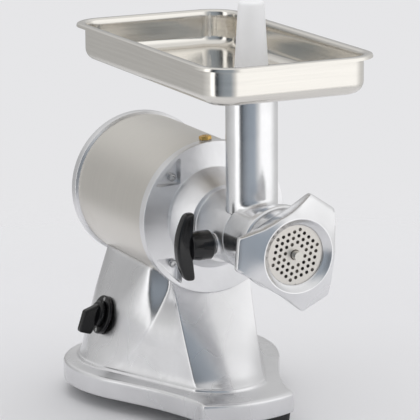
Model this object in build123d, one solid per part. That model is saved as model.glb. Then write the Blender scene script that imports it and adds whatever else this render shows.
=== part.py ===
from build123d import *
import math
import os

os.makedirs("parts", exist_ok=True)

# Every piece is drawn about the point where the feed tube's axis meets the head's axis:
# +X to the right of someone facing the hole plate, +Y to the back, +Z up, in millimetres.
# At the end all pieces are lifted and moved so that the origin lies under the footprint's middle.

# Fits
run_gap = 0.3
bearing_gap = 0.05

# Base casting
foot_height = 16.0
foot_side = 38.0
foot_round = 8.0
base_height = 24.0
base_half_width = 130.0
base_front_half_width = 58.0
base_front_y = -6.0
base_corner_y = 8.0
base_corner_radius = 7.0
base_wide_y = 220.0
base_rear_y = 319.0
base_side_bends = ((0.04, 0.13), (0.285, 0.36), (0.6, 0.575), (0.82, 0.715))
base_edge_round = 4.0
plinth_step = 3.0
plinth_height = 4.0
base_wall = 6.0
axis_above_base = 192.0
front_foot_side_inset = 22.0
front_foot_inset = 16.0
rear_foot_inset = 48.0
foot_boss_radius = 9.0
foot_screw_radius = 3.0
foot_screw_head_radius = 6.0
foot_screw_head = 4.0
foot_screw_grip = 12.0
foot_screw_sink = 8.0
foot_taper = 2.0
cover_sheet = 1.5

# Pedestal, given by the half width, front, rear and corner radii of its sections
pedestal_margin = 21.0
leg_foot_half_width = 43.0
leg_foot_front_y = 36.0
leg_foot_ridge_y = 57.0
leg_foot_spread = (base_half_width - pedestal_margin, 205.0)
leg_top_half_width = 50.0
leg_top_front_y = 114.0
leg_top_ridge_y = 111.0
leg_top_flank = 12.0
leg_top_drop = 60.0
leg_rear_y = 240.0
column_foot = (base_half_width - pedestal_margin, 140.0, 311.0, 75.0, 88.0)
column_waist = (84.0, 120.0, 309.0, 34.0, 76.0)
column_top = (52.0, 157.0, 303.0, 24.0, 44.0)
column_waist_drop = 115.0
column_top_drop = 50.0
saddle_wall = 11.4

# Motor barrel
shell_radius = 85.5
shell_sheet = 3.0
shell_front_y = 110.0
shell_rear_y = 290.0
ring_radius = 88.6
ring_width = 15.2
ring_rim = 11.0
dish_depth = 5.0
dish_thickness = 8.0
register_depth = 6.0
register_wall = 4.0

# Front cover's hub and the socket collar that takes the head
hub_radius = 58.0
hub_height = 8.0
cone_front_y = 61.0
cone_front_radius = 45.0
collar_radius = 40.0
collar_front_y = -8.0
spigot_radius = 33.4
spigot_rear_y = 44.0
spigot_gap = 0.3
socket_clear = 2.0
screw_grip = 14.0
screw_circle_radius = 71.0
screw_radius = 2.5
screw_head_radius = 4.6
screw_head = 3.2
pocket_radius = 11.0
pocket_depth = 4.0
pillar_radius = 6.0

# Bearings as bore radius, outer radius and width
output_bearing = (12.5, 26.0, 15.0)
lay_bearing = (7.5, 17.5, 11.0)
rotor_bearing = (8.5, 20.0, 12.0)
race = 3.0
shield_depth = 0.5
seal_width = 8.0
seal_radius = 20.0
seal_clear = 0.3
lay_boss_radius = 21.0

# Reduction gears, two like stages on one centre distance
gear_module = 1.5
pinion_teeth = 16
wheel_teeth = 44
pressure_angle = math.radians(20.0)
tooth_thinning = 0.2
stage_width = 18.0
stage_gap = 6.0
first_stage_y = 123.0
output_collar_radius = 16.0

# Motor
plate_thickness = 12.0
stator_front_y = 200.0
stack_length = 60.0
stator_bore = 36.0
air_gap = 0.5
winding_length = 12.0
winding_inner = 40.0
winding_outer = 70.0
rotor_nose_radius = 6.0
tie_rod_circle = 75.0
tie_rod_radius = 2.5
tie_rod_stop = 2.0
fan_radius = 66.0
fan_disc = 2.0
fan_width = 11.0
fan_hub_radius = 16.0
fan_blades = 8
fan_blade = 2.0
fan_clear = 1.5
rear_boss_radius = 26.0
vent_count = 10
vent_width = 6.0
vent_inner = 40.0
vent_outer = 64.0

# Oil filler on top of the front cover's ring
oil_plug_lean = 4.3
oil_plug_across = 12.5
oil_plug_head = 4.5
oil_plug_shank_radius = 4.0
oil_plug_shank = 8.0
oil_way_radius = 3.0
oil_way_depth = 16.0
oil_washer_radius = 7.2
oil_washer_thickness = 1.0

# Seat bolts between pedestal and the barrel's rings
seat_bolt_x = 12.0
seat_bolt_radius = 3.0
seat_bolt_head_radius = 4.5
seat_bolt_head = 5.0
seat_bolt_bite = 8.0
seat_bolt_setback = 4.0

# Switch on the left flank
switch_y = 210.0
switch_below_saddle = 33.0
switch_boss_proud = 1.0
switch_boss_depth = 14.0
switch_boss_radius = 24.0
switch_plate_radius = 23.0
switch_plate_thickness = 4.0
switch_disc_radius = 15.5
switch_disc = 6.0
switch_bar_length = 37.0
switch_bar_drop = 6.8
switch_bar_width = 13.0
switch_bar_depth = 15.0
switch_bar_taper = 2.75
switch_bar_round = 4.0
switch_stem_radius = 4.0
switch_body_side = 30.0
switch_body_depth = 24.0
switch_screw_circle = 19.0
switch_screw_radius = 1.5
switch_screw_head_radius = 2.4
switch_screw_head = 1.5
switch_screw_bite = 8.0

# Wiring inside the base
gland_drop = 160.0
gland_boss_proud = 1.0
gland_radius = 9.0
gland_flange_radius = 12.0
gland_flange = 4.0
gland_bore = 4.0
gland_inside = 8.0
capacitor_place = (34.0, 225.0)
capacitor_radius = 18.0
capacitor_height = 62.0
terminal_place = (-30.0, 150.0)
terminal_size = (40.0, 22.0, 16.0)

# Grinding head
bore_radius = 27.0
barrel_radius = 40.0
neck_collar_radius = 47.0
neck_collar_rear_y = -58.0
neck_collar_front_y = -70.0
thread_radius = 39.5
barrel_front_y = -99.0
head_end_wall = 6.0
tail_bore_radius = 13.5
tube_radius = 28.8
tube_bore = 25.5
tube_top = 167.0
thrust_washer = 4.0

# Auger, knife and hole plate
auger_core_radius = 11.0
auger_neck_radius = 10.5
auger_root = 1.0
auger_flight_gap = 0.6
auger_flight = 5.0
auger_pitch = 28.0
tail_side = 15.0
tail_length = 18.0
knife_square = 11.0
knife_thickness = 7.0
knife_hub_radius = 11.0
knife_blade = 9.0
knife_lean = 1.5
knife_tip_radius = 25.5
pin_radius = 5.0
pin_reach = 9.0
pin_seat = 12.0
plate_front_y = -103.3
hole_plate_thickness = 8.0
hole_plate_radius = 35.0
hole_pitch = 7.0
hole_radius = 2.0
hole_first_ring = 2
hole_last_ring = 4
hole_tilt = 12.4
key_radius = 1.5
key_circle = 34.0
key_depth = 5.0

# Ring nut with three lobes
nut_rear_y = -74.0
nut_rim_y = -111.4
nut_rim_radius = 41.5
nut_mouth_radius = 31.0
nut_bowl_radius = 40.0
nut_skirt_radius = 46.0
nut_lobe_reach = 65.5
nut_lobe_width = 35.0
nut_lobe_front_y = -97.0
nut_lobe_rear_y = -90.0
nut_lobe_round = 5.0
nut_waist = 46.0
nut_lobe_angle = 55.5

# Lock screw with a winged knob on the left of the collar
lock_y = 14.0
lock_drop = 9.0
lock_pad_radius = 12.0
lock_pad_x = 41.5
lock_washer_radius = 10.0
lock_washer = 1.5
lock_stud_radius = 5.0
lock_hub_radius = 16.5
lock_hub = 21.0
lock_hub_socket = 16.0
wing_span = 76.0
wing_depth = 23.0
wing_thickness = 13.0
wing_tip_depth = 9.0
wing_tip_setback = 3.0
wing_tip_round = 4.0

# Tray and pusher
tray_width = 209.7
tray_front_y = -113.8
tray_rear_y = 272.6
tray_depth = 43.0
tray_sheet = 1.2
tray_flange = 10.0
tray_lip = 4.0
tray_corner = 30.0
tray_bottom_radius = 13.0
sleeve_length = 18.0
sleeve_gap = 0.4
pusher_top = 261.5
pusher_bottom = 90.0
pusher_shank_radius = 22.0
pusher_collar_radius = 32.0
pusher_collar = 6.0
pusher_body_radius = 19.4
pusher_top_radius = 14.2
pusher_crown = 3.0

# Levels and places that follow from the sizes above
base_top = -axis_above_base
base_bottom = base_top - base_height
floor_level = base_bottom - foot_height
ring_front_y = shell_front_y - ring_width
ring_rear_y = shell_rear_y + ring_width
dish_front_y = ring_front_y + dish_depth
dish_rear_y = dish_front_y + dish_thickness
shell_bore = shell_radius - shell_sheet
stage_distance = gear_module * (pinion_teeth + wheel_teeth) / 2
first_stage_rear_y = first_stage_y + stage_width
second_stage_y = first_stage_rear_y + stage_gap
second_stage_rear_y = second_stage_y + stage_width
gear_plate_y = second_stage_rear_y + stage_gap / 2
gear_plate_rear_y = gear_plate_y + plate_thickness
stator_rear_y = stator_front_y + stack_length
rear_disc_front_y = ring_rear_y - dish_thickness
hole_plate_rear_y = plate_front_y + hole_plate_thickness
head_wall_front_y = spigot_rear_y - head_end_wall
seal_y = spigot_rear_y + socket_clear + seal_width
output_front_y = spigot_rear_y + socket_clear
rear_boss_front_y = rear_disc_front_y - rotor_bearing[2]
tray_floor = tube_top
tray_floor_top = tray_floor + tray_sheet
saddle_drop = ring_radius + saddle_wall
switch_drop = saddle_drop + switch_below_saddle
oil_plug_y = (dish_front_y + dish_rear_y) / 2

# Moves the finished pieces from the drawing point to the part's own origin
place = Location((0, -(tray_front_y + base_rear_y) / 2, -floor_level))


def rod_x(radius, x_from, x_to, y, z):
    """Round bar across the machine."""
    bar = Cylinder(radius, x_to - x_from, align=(Align.CENTER, Align.CENTER, Align.MIN))
    return Pos(x_from, y, z) * Rot(0, 90, 0) * bar


def rod_y(radius, y_from, y_to, x=0.0, z=0.0):
    """Round bar along the machine."""
    bar = Cylinder(radius, y_to - y_from, align=(Align.CENTER, Align.CENTER, Align.MIN))
    return Pos(x, y_from, z) * Rot(-90, 0, 0) * bar


def rod_z(radius, z_from, z_to, x=0.0, y=0.0):
    """Upright round bar."""
    bar = Cylinder(radius, z_to - z_from, align=(Align.CENTER, Align.CENTER, Align.MIN))
    return Pos(x, y, z_from) * bar


def block(x_span, y_span, z_span):
    """Box between two corners given as spans."""
    low = Align.MIN
    size = [span[1] - span[0] for span in (x_span, y_span, z_span)]
    return Pos(x_span[0], y_span[0], z_span[0]) * Box(*size, align=(low, low, low))


def along_y(outline, y_from, y_to):
    """Prism of an outline drawn as seen from the front, x to the right and z up."""
    back = Plane((0, y_to, 0), x_dir=(1, 0, 0), z_dir=(0, -1, 0))
    return extrude(back * outline, amount=y_to - y_from)


def turned_y(points):
    """Body turned about the head's axis from its half section of (radius, y) points."""
    outline = Polyline(*[(radius, y) for radius, y in points], close=True)
    return revolve(make_face(outline), Axis.Y)


def turned_z(points, y=0.0):
    """Body turned about an upright axis from its half section of (radius, z) points."""
    outline = Polyline(*[(radius, 0, z) for radius, z in points], close=True)
    return Pos(0, y, 0) * revolve(make_face(outline), Axis.Z)


def around_y(count, radius, first_angle):
    """Evenly spaced (x, z) places on a circle about the head's axis."""
    angles = [math.radians(first_angle + 360 * step / count) for step in range(count)]
    return [(radius * math.cos(angle), radius * math.sin(angle)) for angle in angles]


def bearing(size, y_from, z=0.0):
    """Ball bearing drawn as two races with a shield between them."""
    bore, outer, width = size
    ring = rod_y(outer, y_from, y_from + width, z=z)
    for face in (y_from, y_from + width - shield_depth):
        groove = rod_y(outer - race, face, face + shield_depth, z=z)
        ring -= groove - rod_y(bore + race, face, face + shield_depth, z=z)
    return ring - rod_y(bore + bearing_gap, y_from, y_from + width, z=z)


def gear_outline(teeth, first_tooth):
    """Involute gear seen from the front, with one tooth centred on the given angle."""
    pitch_radius = gear_module * teeth / 2
    base_radius = pitch_radius * math.cos(pressure_angle)
    tip_radius = pitch_radius + gear_module
    root_radius = pitch_radius - 1.25 * gear_module
    half_tooth = math.pi / (2 * teeth) - tooth_thinning / (2 * pitch_radius)
    involute_at_pitch = math.tan(pressure_angle) - pressure_angle
    start = max(base_radius, root_radius)
    flank = []
    for step in range(4):
        radius = start + (tip_radius - start) * step / 3
        roll = math.acos(base_radius / radius)
        flank.append((radius, half_tooth + involute_at_pitch - math.tan(roll) + roll))
    if root_radius < base_radius:
        flank.insert(0, (root_radius, flank[0][1]))
    points = []
    for tooth in range(teeth):
        middle = math.radians(first_tooth) + 2 * math.pi * tooth / teeth
        side = [(radius, middle - half) for radius, half in flank]
        side += [(radius, middle + half) for radius, half in reversed(flank)]
        points += [(radius * math.cos(angle), radius * math.sin(angle)) for radius, angle in side]
    return make_face(Polyline(*points, close=True))


def gear(teeth, first_tooth, y_from, bore, z=0.0):
    """Spur gear on a shaft."""
    blank = Pos(0, 0, z) * along_y(gear_outline(teeth, first_tooth), y_from, y_from + stage_width)
    return blank - rod_y(bore, y_from, y_from + stage_width, z=z)


def base_outline(inset, level):
    """Plan of the base: narrow bowed front, sides sweeping out, broad rounded rear."""
    corner = (base_front_half_width - inset, base_corner_y + inset)
    wide = (base_half_width - inset, base_wide_y)
    rear = base_rear_y - inset
    rear_radius = base_rear_y - base_wide_y - inset
    rear_corner = (wide[0] - rear_radius, rear)
    bend = rear_radius * math.sqrt(0.5)
    rear_middle = (wide[0] - rear_radius + bend, base_wide_y + bend)
    front = ThreePointArc((-corner[0], corner[1]), (0, base_front_y + inset), corner)
    sweep_x, sweep_y = wide[0] - corner[0], wide[1] - corner[1]
    bends = [(corner[0] + across * sweep_x, corner[1] + along * sweep_y) for across, along in base_side_bends]
    right = Spline(corner, *bends, wide, tangents=((0, 1), (0, 1)))
    right_rear = ThreePointArc(wide, rear_middle, rear_corner)
    back = Line(rear_corner, (-rear_corner[0], rear_corner[1]))
    left_rear = mirror(right_rear, about=Plane.YZ)
    left = mirror(right, about=Plane.YZ)
    plan = make_face([front, right, right_rear, back, left_rear, left])
    front_corners = plan.vertices().sort_by(Axis.Y)[:2]
    return Pos(0, 0, level) * fillet(front_corners, base_corner_radius)


def column_outline(section, inset, level):
    """Plan of the pedestal's column at one level, a box with small front and large rear corners."""
    half, front, rear, front_radius, rear_radius = section
    plan = Pos(0, (front + rear) / 2) * Rectangle(2 * (half - inset), rear - front - 2 * inset)
    plan = fillet(plan.vertices().sort_by(Axis.Y)[:2], front_radius - inset)
    plan = fillet(plan.vertices().sort_by(Axis.Y)[-2:], rear_radius - inset)
    return Pos(0, 0, level) * plan


def leg_outline(half, front, ridge, spread, inset, level):
    """Plan of the pedestal's front leg at one level: a bowed front between two ridges."""
    left_ridge = (inset - half, ridge + inset)
    right_ridge = (half - inset, ridge + inset)
    flare = (spread[0] - inset, spread[1] + inset)
    rear = leg_rear_y - inset
    edges = [
        ThreePointArc(left_ridge, (0, front + inset), right_ridge),
        Line(right_ridge, flare),
        Line(flare, (flare[0], rear)),
        Line((flare[0], rear), (-flare[0], rear)),
        Line((-flare[0], rear), (-flare[0], flare[1])),
        Line((-flare[0], flare[1]), left_ridge),
    ]
    return Pos(0, 0, level) * make_face(edges)


def pedestal(inset):
    """Column under the motor and the leg in front of it, shrunk all round by the inset."""
    column_foot_plan = column_outline(column_foot, inset, base_top)
    column_waist_plan = column_outline(column_waist, inset, -column_waist_drop)
    column_top_plan = column_outline(column_top, inset, -column_top_drop)
    leg_top_spread = (leg_top_half_width, leg_top_ridge_y + leg_top_flank)
    leg_foot_plan = leg_outline(
        leg_foot_half_width, leg_foot_front_y, leg_foot_ridge_y, leg_foot_spread, inset, base_top
    )
    leg_top_plan = leg_outline(
        leg_top_half_width, leg_top_front_y, leg_top_ridge_y, leg_top_spread, inset, -leg_top_drop
    )
    body = loft([column_foot_plan, column_waist_plan], ruled=True)
    body += loft([column_waist_plan, column_top_plan], ruled=True)
    body += loft([leg_foot_plan, leg_top_plan], ruled=True)
    for foot_plan in (column_foot_plan, leg_foot_plan):
        body += extrude(foot_plan, amount=-base_wall)
    return body


def plinth():
    """Low step round the pedestal's foot."""
    leg_plan = leg_outline(
        leg_foot_half_width, leg_foot_front_y, leg_foot_ridge_y, leg_foot_spread, -plinth_step, base_top
    )
    column_plan = column_outline(column_foot, -plinth_step, base_top)
    return extrude(column_plan, amount=plinth_height) + extrude(leg_plan, amount=plinth_height)


def flank_half_width(drop):
    """Half width of the pedestal's column at a level below the head's axis."""
    levels = [
        (column_top_drop, column_top[0]),
        (column_waist_drop, column_waist[0]),
        (axis_above_base, column_foot[0]),
    ]
    upper, lower = levels[:2] if drop < column_waist_drop else levels[1:]
    share = (drop - upper[0]) / (lower[0] - upper[0])
    return upper[1] + share * (lower[1] - upper[1])


def switch_place():
    """Middle of the switch on the left flank, with -X square to the flank and outwards."""
    lean = math.atan2(column_foot[0] - column_waist[0], axis_above_base - column_waist_drop)
    middle = Pos(-flank_half_width(switch_drop), switch_y, -switch_drop)
    return middle * Rot(0, math.degrees(lean), 0)


def foot_places():
    """The four feet, left and right of the front and the rear."""
    front = (base_front_half_width - front_foot_side_inset, base_corner_y + front_foot_inset)
    rear = (base_half_width - rear_foot_inset, base_rear_y - rear_foot_inset)
    return [(side * x, y) for x, y in (front, rear) for side in (-1, 1)]


def seat_bolt_places():
    """The four bolts that draw the motor's end rings down on the saddle."""
    rows = (ring_front_y + ring_width / 2, shell_rear_y + seat_bolt_setback)
    return [(side * seat_bolt_x, y) for y in rows for side in (-1, 1)]


def motor_envelope():
    """Outside of the shell and its two end rings, which the saddle is shaped to."""
    body = rod_y(ring_radius, ring_front_y, shell_front_y)
    body += rod_y(shell_radius, shell_front_y, shell_rear_y)
    return body + rod_y(ring_radius, shell_rear_y, ring_rear_y)


def base_casting():
    """Hollow aluminium casting: round-edged base, plinth, pedestal and saddle."""
    body = extrude(base_outline(0, base_bottom), amount=base_height)
    body = fillet(body.faces().sort_by(Axis.Z)[-1].edges(), base_edge_round)
    body += plinth() + pedestal(0)
    body -= motor_envelope()
    body -= extrude(base_outline(base_wall, base_bottom), amount=base_height - base_wall)
    reach = 2 * base_rear_y
    below_saddle = block((-reach, reach), (-reach, reach), (base_bottom, -saddle_drop))
    body -= pedestal(base_wall) & below_saddle
    boss_top = base_top - base_wall / 2
    for x, y in foot_places():
        body += rod_z(foot_boss_radius, base_bottom + cover_sheet, boss_top, x, y)
        body -= rod_z(foot_screw_radius, base_bottom, base_bottom + foot_screw_grip, x, y)
    for x, y in seat_bolt_places():
        body -= rod_z(seat_bolt_radius, -saddle_drop, -ring_radius + ring_rim, x, y)
        head_room = seat_bolt_head_radius + run_gap
        body -= rod_z(head_room, -saddle_drop - seat_bolt_head, -saddle_drop, x, y)
    at_switch = switch_place()
    body += at_switch * rod_x(switch_boss_radius, -switch_boss_proud, switch_boss_depth, 0, 0)
    stem_hole = switch_stem_radius + run_gap
    body -= at_switch * rod_x(stem_hole, -switch_boss_proud, switch_boss_depth, 0, 0)
    for z in switch_screw_levels():
        body -= at_switch * rod_x(switch_screw_radius, -switch_boss_proud, switch_screw_bite, 0, z)
    gland_rear = gland_face_y()
    body += rod_y(gland_flange_radius, gland_rear - 2 * base_wall, gland_rear, z=-gland_drop)
    body -= rod_y(gland_radius, gland_rear - 2 * base_wall, gland_rear, z=-gland_drop)
    return body


def gland_face_y():
    """Flat face for the cable gland, just proud of the column's rear wall."""
    return max(column_foot[2], column_waist[2]) + gland_boss_proud


def base_cover():
    """Sheet that closes the base from below, held by the foot screws."""
    sheet = extrude(base_outline(base_wall + run_gap, base_bottom), amount=cover_sheet)
    for x, y in foot_places():
        sheet -= rod_z(foot_screw_radius, base_bottom, base_bottom + cover_sheet, x, y)
    return sheet


def foot(x, y):
    """Square rubber foot with a sunk seat for its screw."""
    tread = RectangleRounded(foot_side - 2 * foot_taper, foot_side - 2 * foot_taper, foot_round)
    top = RectangleRounded(foot_side, foot_side, foot_round + foot_taper)
    body = loft([Pos(x, y, floor_level) * tread, Pos(x, y, base_bottom) * top])
    body -= rod_z(foot_screw_head_radius, floor_level, floor_level + foot_screw_sink, x, y)
    return body - rod_z(foot_screw_radius, floor_level, base_bottom, x, y)


def foot_screw(x, y):
    """Pan head screw up through a foot and the base cover into the casting's boss."""
    seat = floor_level + foot_screw_sink
    head = rod_z(foot_screw_head_radius, seat - foot_screw_head, seat, x, y)
    return head + rod_z(foot_screw_radius, seat, base_bottom + foot_screw_grip, x, y)


def seat_bolt(x, y):
    """Bolt from inside the pedestal up into the rim of an end ring."""
    rim = -math.sqrt(ring_radius**2 - x**2)
    head = rod_z(seat_bolt_head_radius, -saddle_drop - seat_bolt_head, -saddle_drop, x, y)
    return head + rod_z(seat_bolt_radius, -saddle_drop, rim + seat_bolt_bite, x, y)


def ring_bolt_holes(row):
    """Blind holes for the seat bolts in one of the two end rings."""
    holes = []
    for x, y in seat_bolt_places()[2 * row : 2 * row + 2]:
        rim = -math.sqrt(ring_radius**2 - x**2)
        holes.append(rod_z(seat_bolt_radius, -saddle_drop, rim + seat_bolt_bite, x, y))
    return holes


def motor_shell():
    """Drawn steel barrel between the two end rings."""
    tube = rod_y(shell_radius, shell_front_y, shell_rear_y)
    return tube - rod_y(shell_bore, shell_front_y, shell_rear_y)


def screw_places():
    """Four cover screws, between the upright and the level."""
    return around_y(4, screw_circle_radius, 45)


def tie_rod_places():
    """Four tie rods, on the upright and the level."""
    return around_y(4, tie_rod_circle, 0)


def front_cover():
    """Dished front casting with a stepped cone and the notched collar that holds the head."""
    body = turned_y(
        [
            (0, collar_front_y),
            (collar_radius, collar_front_y),
            (collar_radius, cone_front_y),
            (cone_front_radius, cone_front_y),
            (hub_radius, dish_front_y - hub_height),
            (hub_radius, dish_front_y),
            (ring_radius - ring_rim, dish_front_y),
            (ring_radius - ring_rim, ring_front_y),
            (ring_radius, ring_front_y),
            (ring_radius, shell_front_y),
            (shell_bore, shell_front_y),
            (shell_bore, shell_front_y + register_depth),
            (shell_bore - register_wall, shell_front_y + register_depth),
            (shell_bore - register_wall, dish_rear_y),
            (0, dish_rear_y),
        ]
    )
    body += rod_y(lay_boss_radius, dish_rear_y, dish_rear_y + lay_bearing[2], z=-stage_distance)
    body -= rod_y(lay_bearing[1], dish_rear_y, dish_rear_y + lay_bearing[2], z=-stage_distance)
    body += rod_x(lock_pad_radius, -lock_pad_x, 0, lock_y, -lock_drop)
    body -= rod_y(spigot_radius + spigot_gap, collar_front_y, spigot_rear_y + socket_clear)
    body -= rod_y(seal_radius, collar_front_y, seal_y + seal_width)
    body -= rod_y(output_bearing[1], seal_y + seal_width, dish_rear_y)
    notch = tube_radius + run_gap
    body -= rod_z(notch, 0, 2 * collar_radius)
    body -= block((-notch, notch), (collar_front_y, 0), (0, 2 * collar_radius))
    body -= rod_x(lock_stud_radius + run_gap, -lock_pad_x, 0, lock_y, -lock_drop)
    for x, z in screw_places():
        angle = math.degrees(math.atan2(z, x))
        pocket = Pos(x, z) * Rot(0, 0, angle) * RegularPolygon(pocket_radius, 3)
        body -= along_y(pocket, dish_front_y, dish_front_y + pocket_depth)
        body -= rod_y(screw_radius, dish_front_y, dish_rear_y, x, z)
    for hole in ring_bolt_holes(0):
        body -= hole
    way_end = ring_radius - oil_way_depth
    way = rod_z(oil_plug_shank_radius, ring_radius - oil_plug_shank, ring_radius, 0, oil_plug_y)
    way += rod_z(oil_way_radius, way_end, ring_radius, 0, oil_plug_y)
    way += rod_y(oil_way_radius, oil_plug_y, dish_rear_y, z=way_end + oil_way_radius)
    return body - Rot(0, -oil_plug_lean, 0) * way


def front_screw(x, z):
    """Cap screw through the front cover into a pillar of the gear plate."""
    seat = dish_front_y + pocket_depth
    head = rod_y(screw_head_radius, seat - screw_head, seat, x, z)
    return head + rod_y(screw_radius, seat, dish_rear_y + screw_grip, x, z)


def rear_cover():
    """Rear end ring with a vented disc, a bearing boss and a register in the shell."""
    body = turned_y(
        [
            (0, rear_boss_front_y),
            (rear_boss_radius, rear_boss_front_y),
            (rear_boss_radius, rear_disc_front_y),
            (shell_bore - register_wall, rear_disc_front_y),
            (shell_bore - register_wall, shell_rear_y - register_depth),
            (shell_bore, shell_rear_y - register_depth),
            (shell_bore, shell_rear_y),
            (ring_radius, shell_rear_y),
            (ring_radius, ring_rear_y),
            (0, ring_rear_y),
        ]
    )
    body -= rod_y(rotor_bearing[1], rear_boss_front_y, rear_disc_front_y)
    for step in range(vent_count):
        angle = 360 * (step + 0.5) / vent_count
        slot = SlotCenterToCenter(vent_outer - vent_inner, vent_width)
        slot = Rot(0, 0, angle) * Pos((vent_inner + vent_outer) / 2, 0) * slot
        body -= along_y(slot, rear_disc_front_y, ring_rear_y)
    for x, z in tie_rod_places():
        body -= rod_y(tie_rod_radius, rear_disc_front_y, ring_rear_y, x, z)
        body -= rod_y(screw_head_radius + run_gap, ring_rear_y - screw_head, ring_rear_y, x, z)
    for hole in ring_bolt_holes(1):
        body -= hole
    return body


def tie_rod(x, z):
    """Long rod that draws rear cover, shell and gear plate together."""
    seat = ring_rear_y - screw_head
    rod = rod_y(tie_rod_radius, gear_plate_y + tie_rod_stop, seat, x, z)
    return rod + rod_y(screw_head_radius, seat, ring_rear_y, x, z)


def gear_plate():
    """Bulkhead between gears and motor, with bearing seats and four pillars to the front cover."""
    body = rod_y(shell_bore, gear_plate_y, gear_plate_rear_y)
    for x, z in screw_places():
        body += rod_y(pillar_radius, dish_rear_y, gear_plate_y, x, z)
        body -= rod_y(screw_radius, dish_rear_y, dish_rear_y + screw_grip, x, z)
    for x, z in tie_rod_places():
        body -= rod_y(tie_rod_radius, gear_plate_y + tie_rod_stop, gear_plate_rear_y, x, z)
    body -= rod_y(rotor_bearing[1], gear_plate_y, gear_plate_rear_y)
    return body - rod_y(lay_bearing[1], gear_plate_y, gear_plate_y + lay_bearing[2], z=-stage_distance)


def oil_plug():
    """Hexagon brass plug in the top of the front cover's ring."""
    seat = ring_radius + oil_washer_thickness
    hexagon = RegularPolygon(oil_plug_across / 2, 6, major_radius=False)
    body = extrude(Pos(0, oil_plug_y, seat) * hexagon, oil_plug_head)
    body += rod_z(oil_plug_shank_radius, ring_radius - oil_plug_shank, seat, 0, oil_plug_y)
    return Rot(0, -oil_plug_lean, 0) * body


def oil_washer():
    """Sealing washer under the plug, shaped to the ring and the shell below."""
    top = ring_radius + oil_washer_thickness
    ring = rod_z(oil_washer_radius, ring_radius - oil_washer_thickness, top, 0, oil_plug_y)
    ring -= rod_y(ring_radius, ring_front_y, shell_front_y)
    ring -= rod_y(shell_radius, shell_front_y, shell_rear_y)
    ring -= rod_z(oil_plug_shank_radius, 0, top, 0, oil_plug_y)
    return Rot(0, -oil_plug_lean, 0) * ring


def stator_core():
    """Lamination stack that fills the shell, drilled for the tie rods."""
    body = rod_y(shell_bore, stator_front_y, stator_rear_y)
    body -= rod_y(stator_bore, stator_front_y, stator_rear_y)
    for x, z in tie_rod_places():
        body -= rod_y(tie_rod_radius + run_gap, stator_front_y, stator_rear_y, x, z)
    return body


def winding(y_from):
    """End turns of the winding as one padded ring."""
    body = rod_y(winding_outer, y_from, y_from + winding_length)
    return body - rod_y(winding_inner, y_from, y_from + winding_length)


def rotor_core():
    """Rotor stack on the shaft."""
    body = rod_y(stator_bore - air_gap, stator_front_y, stator_rear_y)
    return body - rod_y(rotor_bearing[0], stator_front_y, stator_rear_y)


def rotor_shaft():
    """Motor shaft with a thinner nose for the pinion."""
    body = rod_y(rotor_bearing[0], second_stage_rear_y, rear_disc_front_y)
    return body + rod_y(rotor_nose_radius, second_stage_y, second_stage_rear_y)


def fan():
    """Radial fan on the rear of the motor shaft."""
    front = stator_rear_y + winding_length + fan_clear
    body = rod_y(fan_radius, front, front + fan_disc)
    body += rod_y(fan_hub_radius, front, rear_boss_front_y - fan_clear)
    for step in range(fan_blades):
        blade = block(
            (rear_boss_radius + fan_clear, fan_radius),
            (front, front + fan_width),
            (-fan_blade / 2, fan_blade / 2),
        )
        body += Rot(0, 360 * step / fan_blades, 0) * blade
    return body - rod_y(rotor_bearing[0], front, front + 2 * fan_width)


def layshaft():
    """Intermediate shaft below the motor's axis."""
    rear = gear_plate_y + lay_bearing[2]
    return rod_y(lay_bearing[0], dish_rear_y, rear, z=-stage_distance)


def output_shaft():
    """Slow shaft with a square socket for the auger's tail and a collar before its gear."""
    body = rod_y(output_bearing[0], output_front_y, first_stage_rear_y)
    body += rod_y(output_collar_radius, dish_rear_y, first_stage_y)
    socket = Rectangle(tail_side + 2 * run_gap, tail_side + 2 * run_gap)
    return body - along_y(socket, output_front_y, output_front_y + tail_length + socket_clear)


def oil_seal():
    """Lip seal in front of the output bearing."""
    body = rod_y(seal_radius, seal_y, seal_y + seal_width)
    return body - rod_y(output_bearing[0] + seal_clear, seal_y, seal_y + seal_width)


def switch_screw_levels():
    """Two screws above and below the switch's middle."""
    return (-switch_screw_circle, switch_screw_circle)


def switch_plate():
    """Round cover plate around the switch."""
    outer = -switch_boss_proud - switch_plate_thickness
    body = rod_x(switch_plate_radius, outer, -switch_boss_proud, 0, 0)
    body -= rod_x(switch_stem_radius + run_gap, outer, -switch_boss_proud, 0, 0)
    for z in switch_screw_levels():
        body -= rod_x(switch_screw_radius, outer, -switch_boss_proud, 0, z)
        body -= rod_x(switch_screw_head_radius, outer, outer + switch_screw_head, 0, z)
    return switch_place() * body


def switch_screw(z):
    """Small screw sunk in the switch plate."""
    outer = -switch_boss_proud - switch_plate_thickness
    body = rod_x(switch_screw_head_radius, outer, outer + switch_screw_head, 0, z)
    body += rod_x(switch_screw_radius, outer + switch_screw_head, switch_screw_bite, 0, z)
    return switch_place() * body


def switch_body():
    """Rotary switch behind the casting's boss."""
    half = switch_body_side / 2
    depth = (switch_boss_depth, switch_boss_depth + switch_body_depth)
    return switch_place() * block(depth, (-half, half), (-half, half))


def switch_knob():
    """Knob with a tapered bar for the fingers, hung low, and a stem into the switch."""
    disc_rear = -switch_boss_proud - switch_plate_thickness - run_gap
    disc_front = disc_rear - switch_disc
    bar_front = disc_front - switch_bar_depth
    body = rod_x(switch_disc_radius, disc_front, disc_rear, 0, 0)
    sections = []
    for x, shrink in ((disc_front, 0), (bar_front, 2 * switch_bar_taper)):
        outline = RectangleRounded(
            switch_bar_width - shrink / 2, switch_bar_length - 2 * shrink, switch_bar_round - shrink / 4
        )
        drop = switch_bar_drop + shrink
        sections.append(Plane((x, 0, -drop), x_dir=(0, 1, 0), z_dir=(1, 0, 0)) * outline)
    body += loft(sections)
    body += rod_x(switch_stem_radius, disc_rear, switch_boss_depth, 0, 0)
    return switch_place() * body


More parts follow.
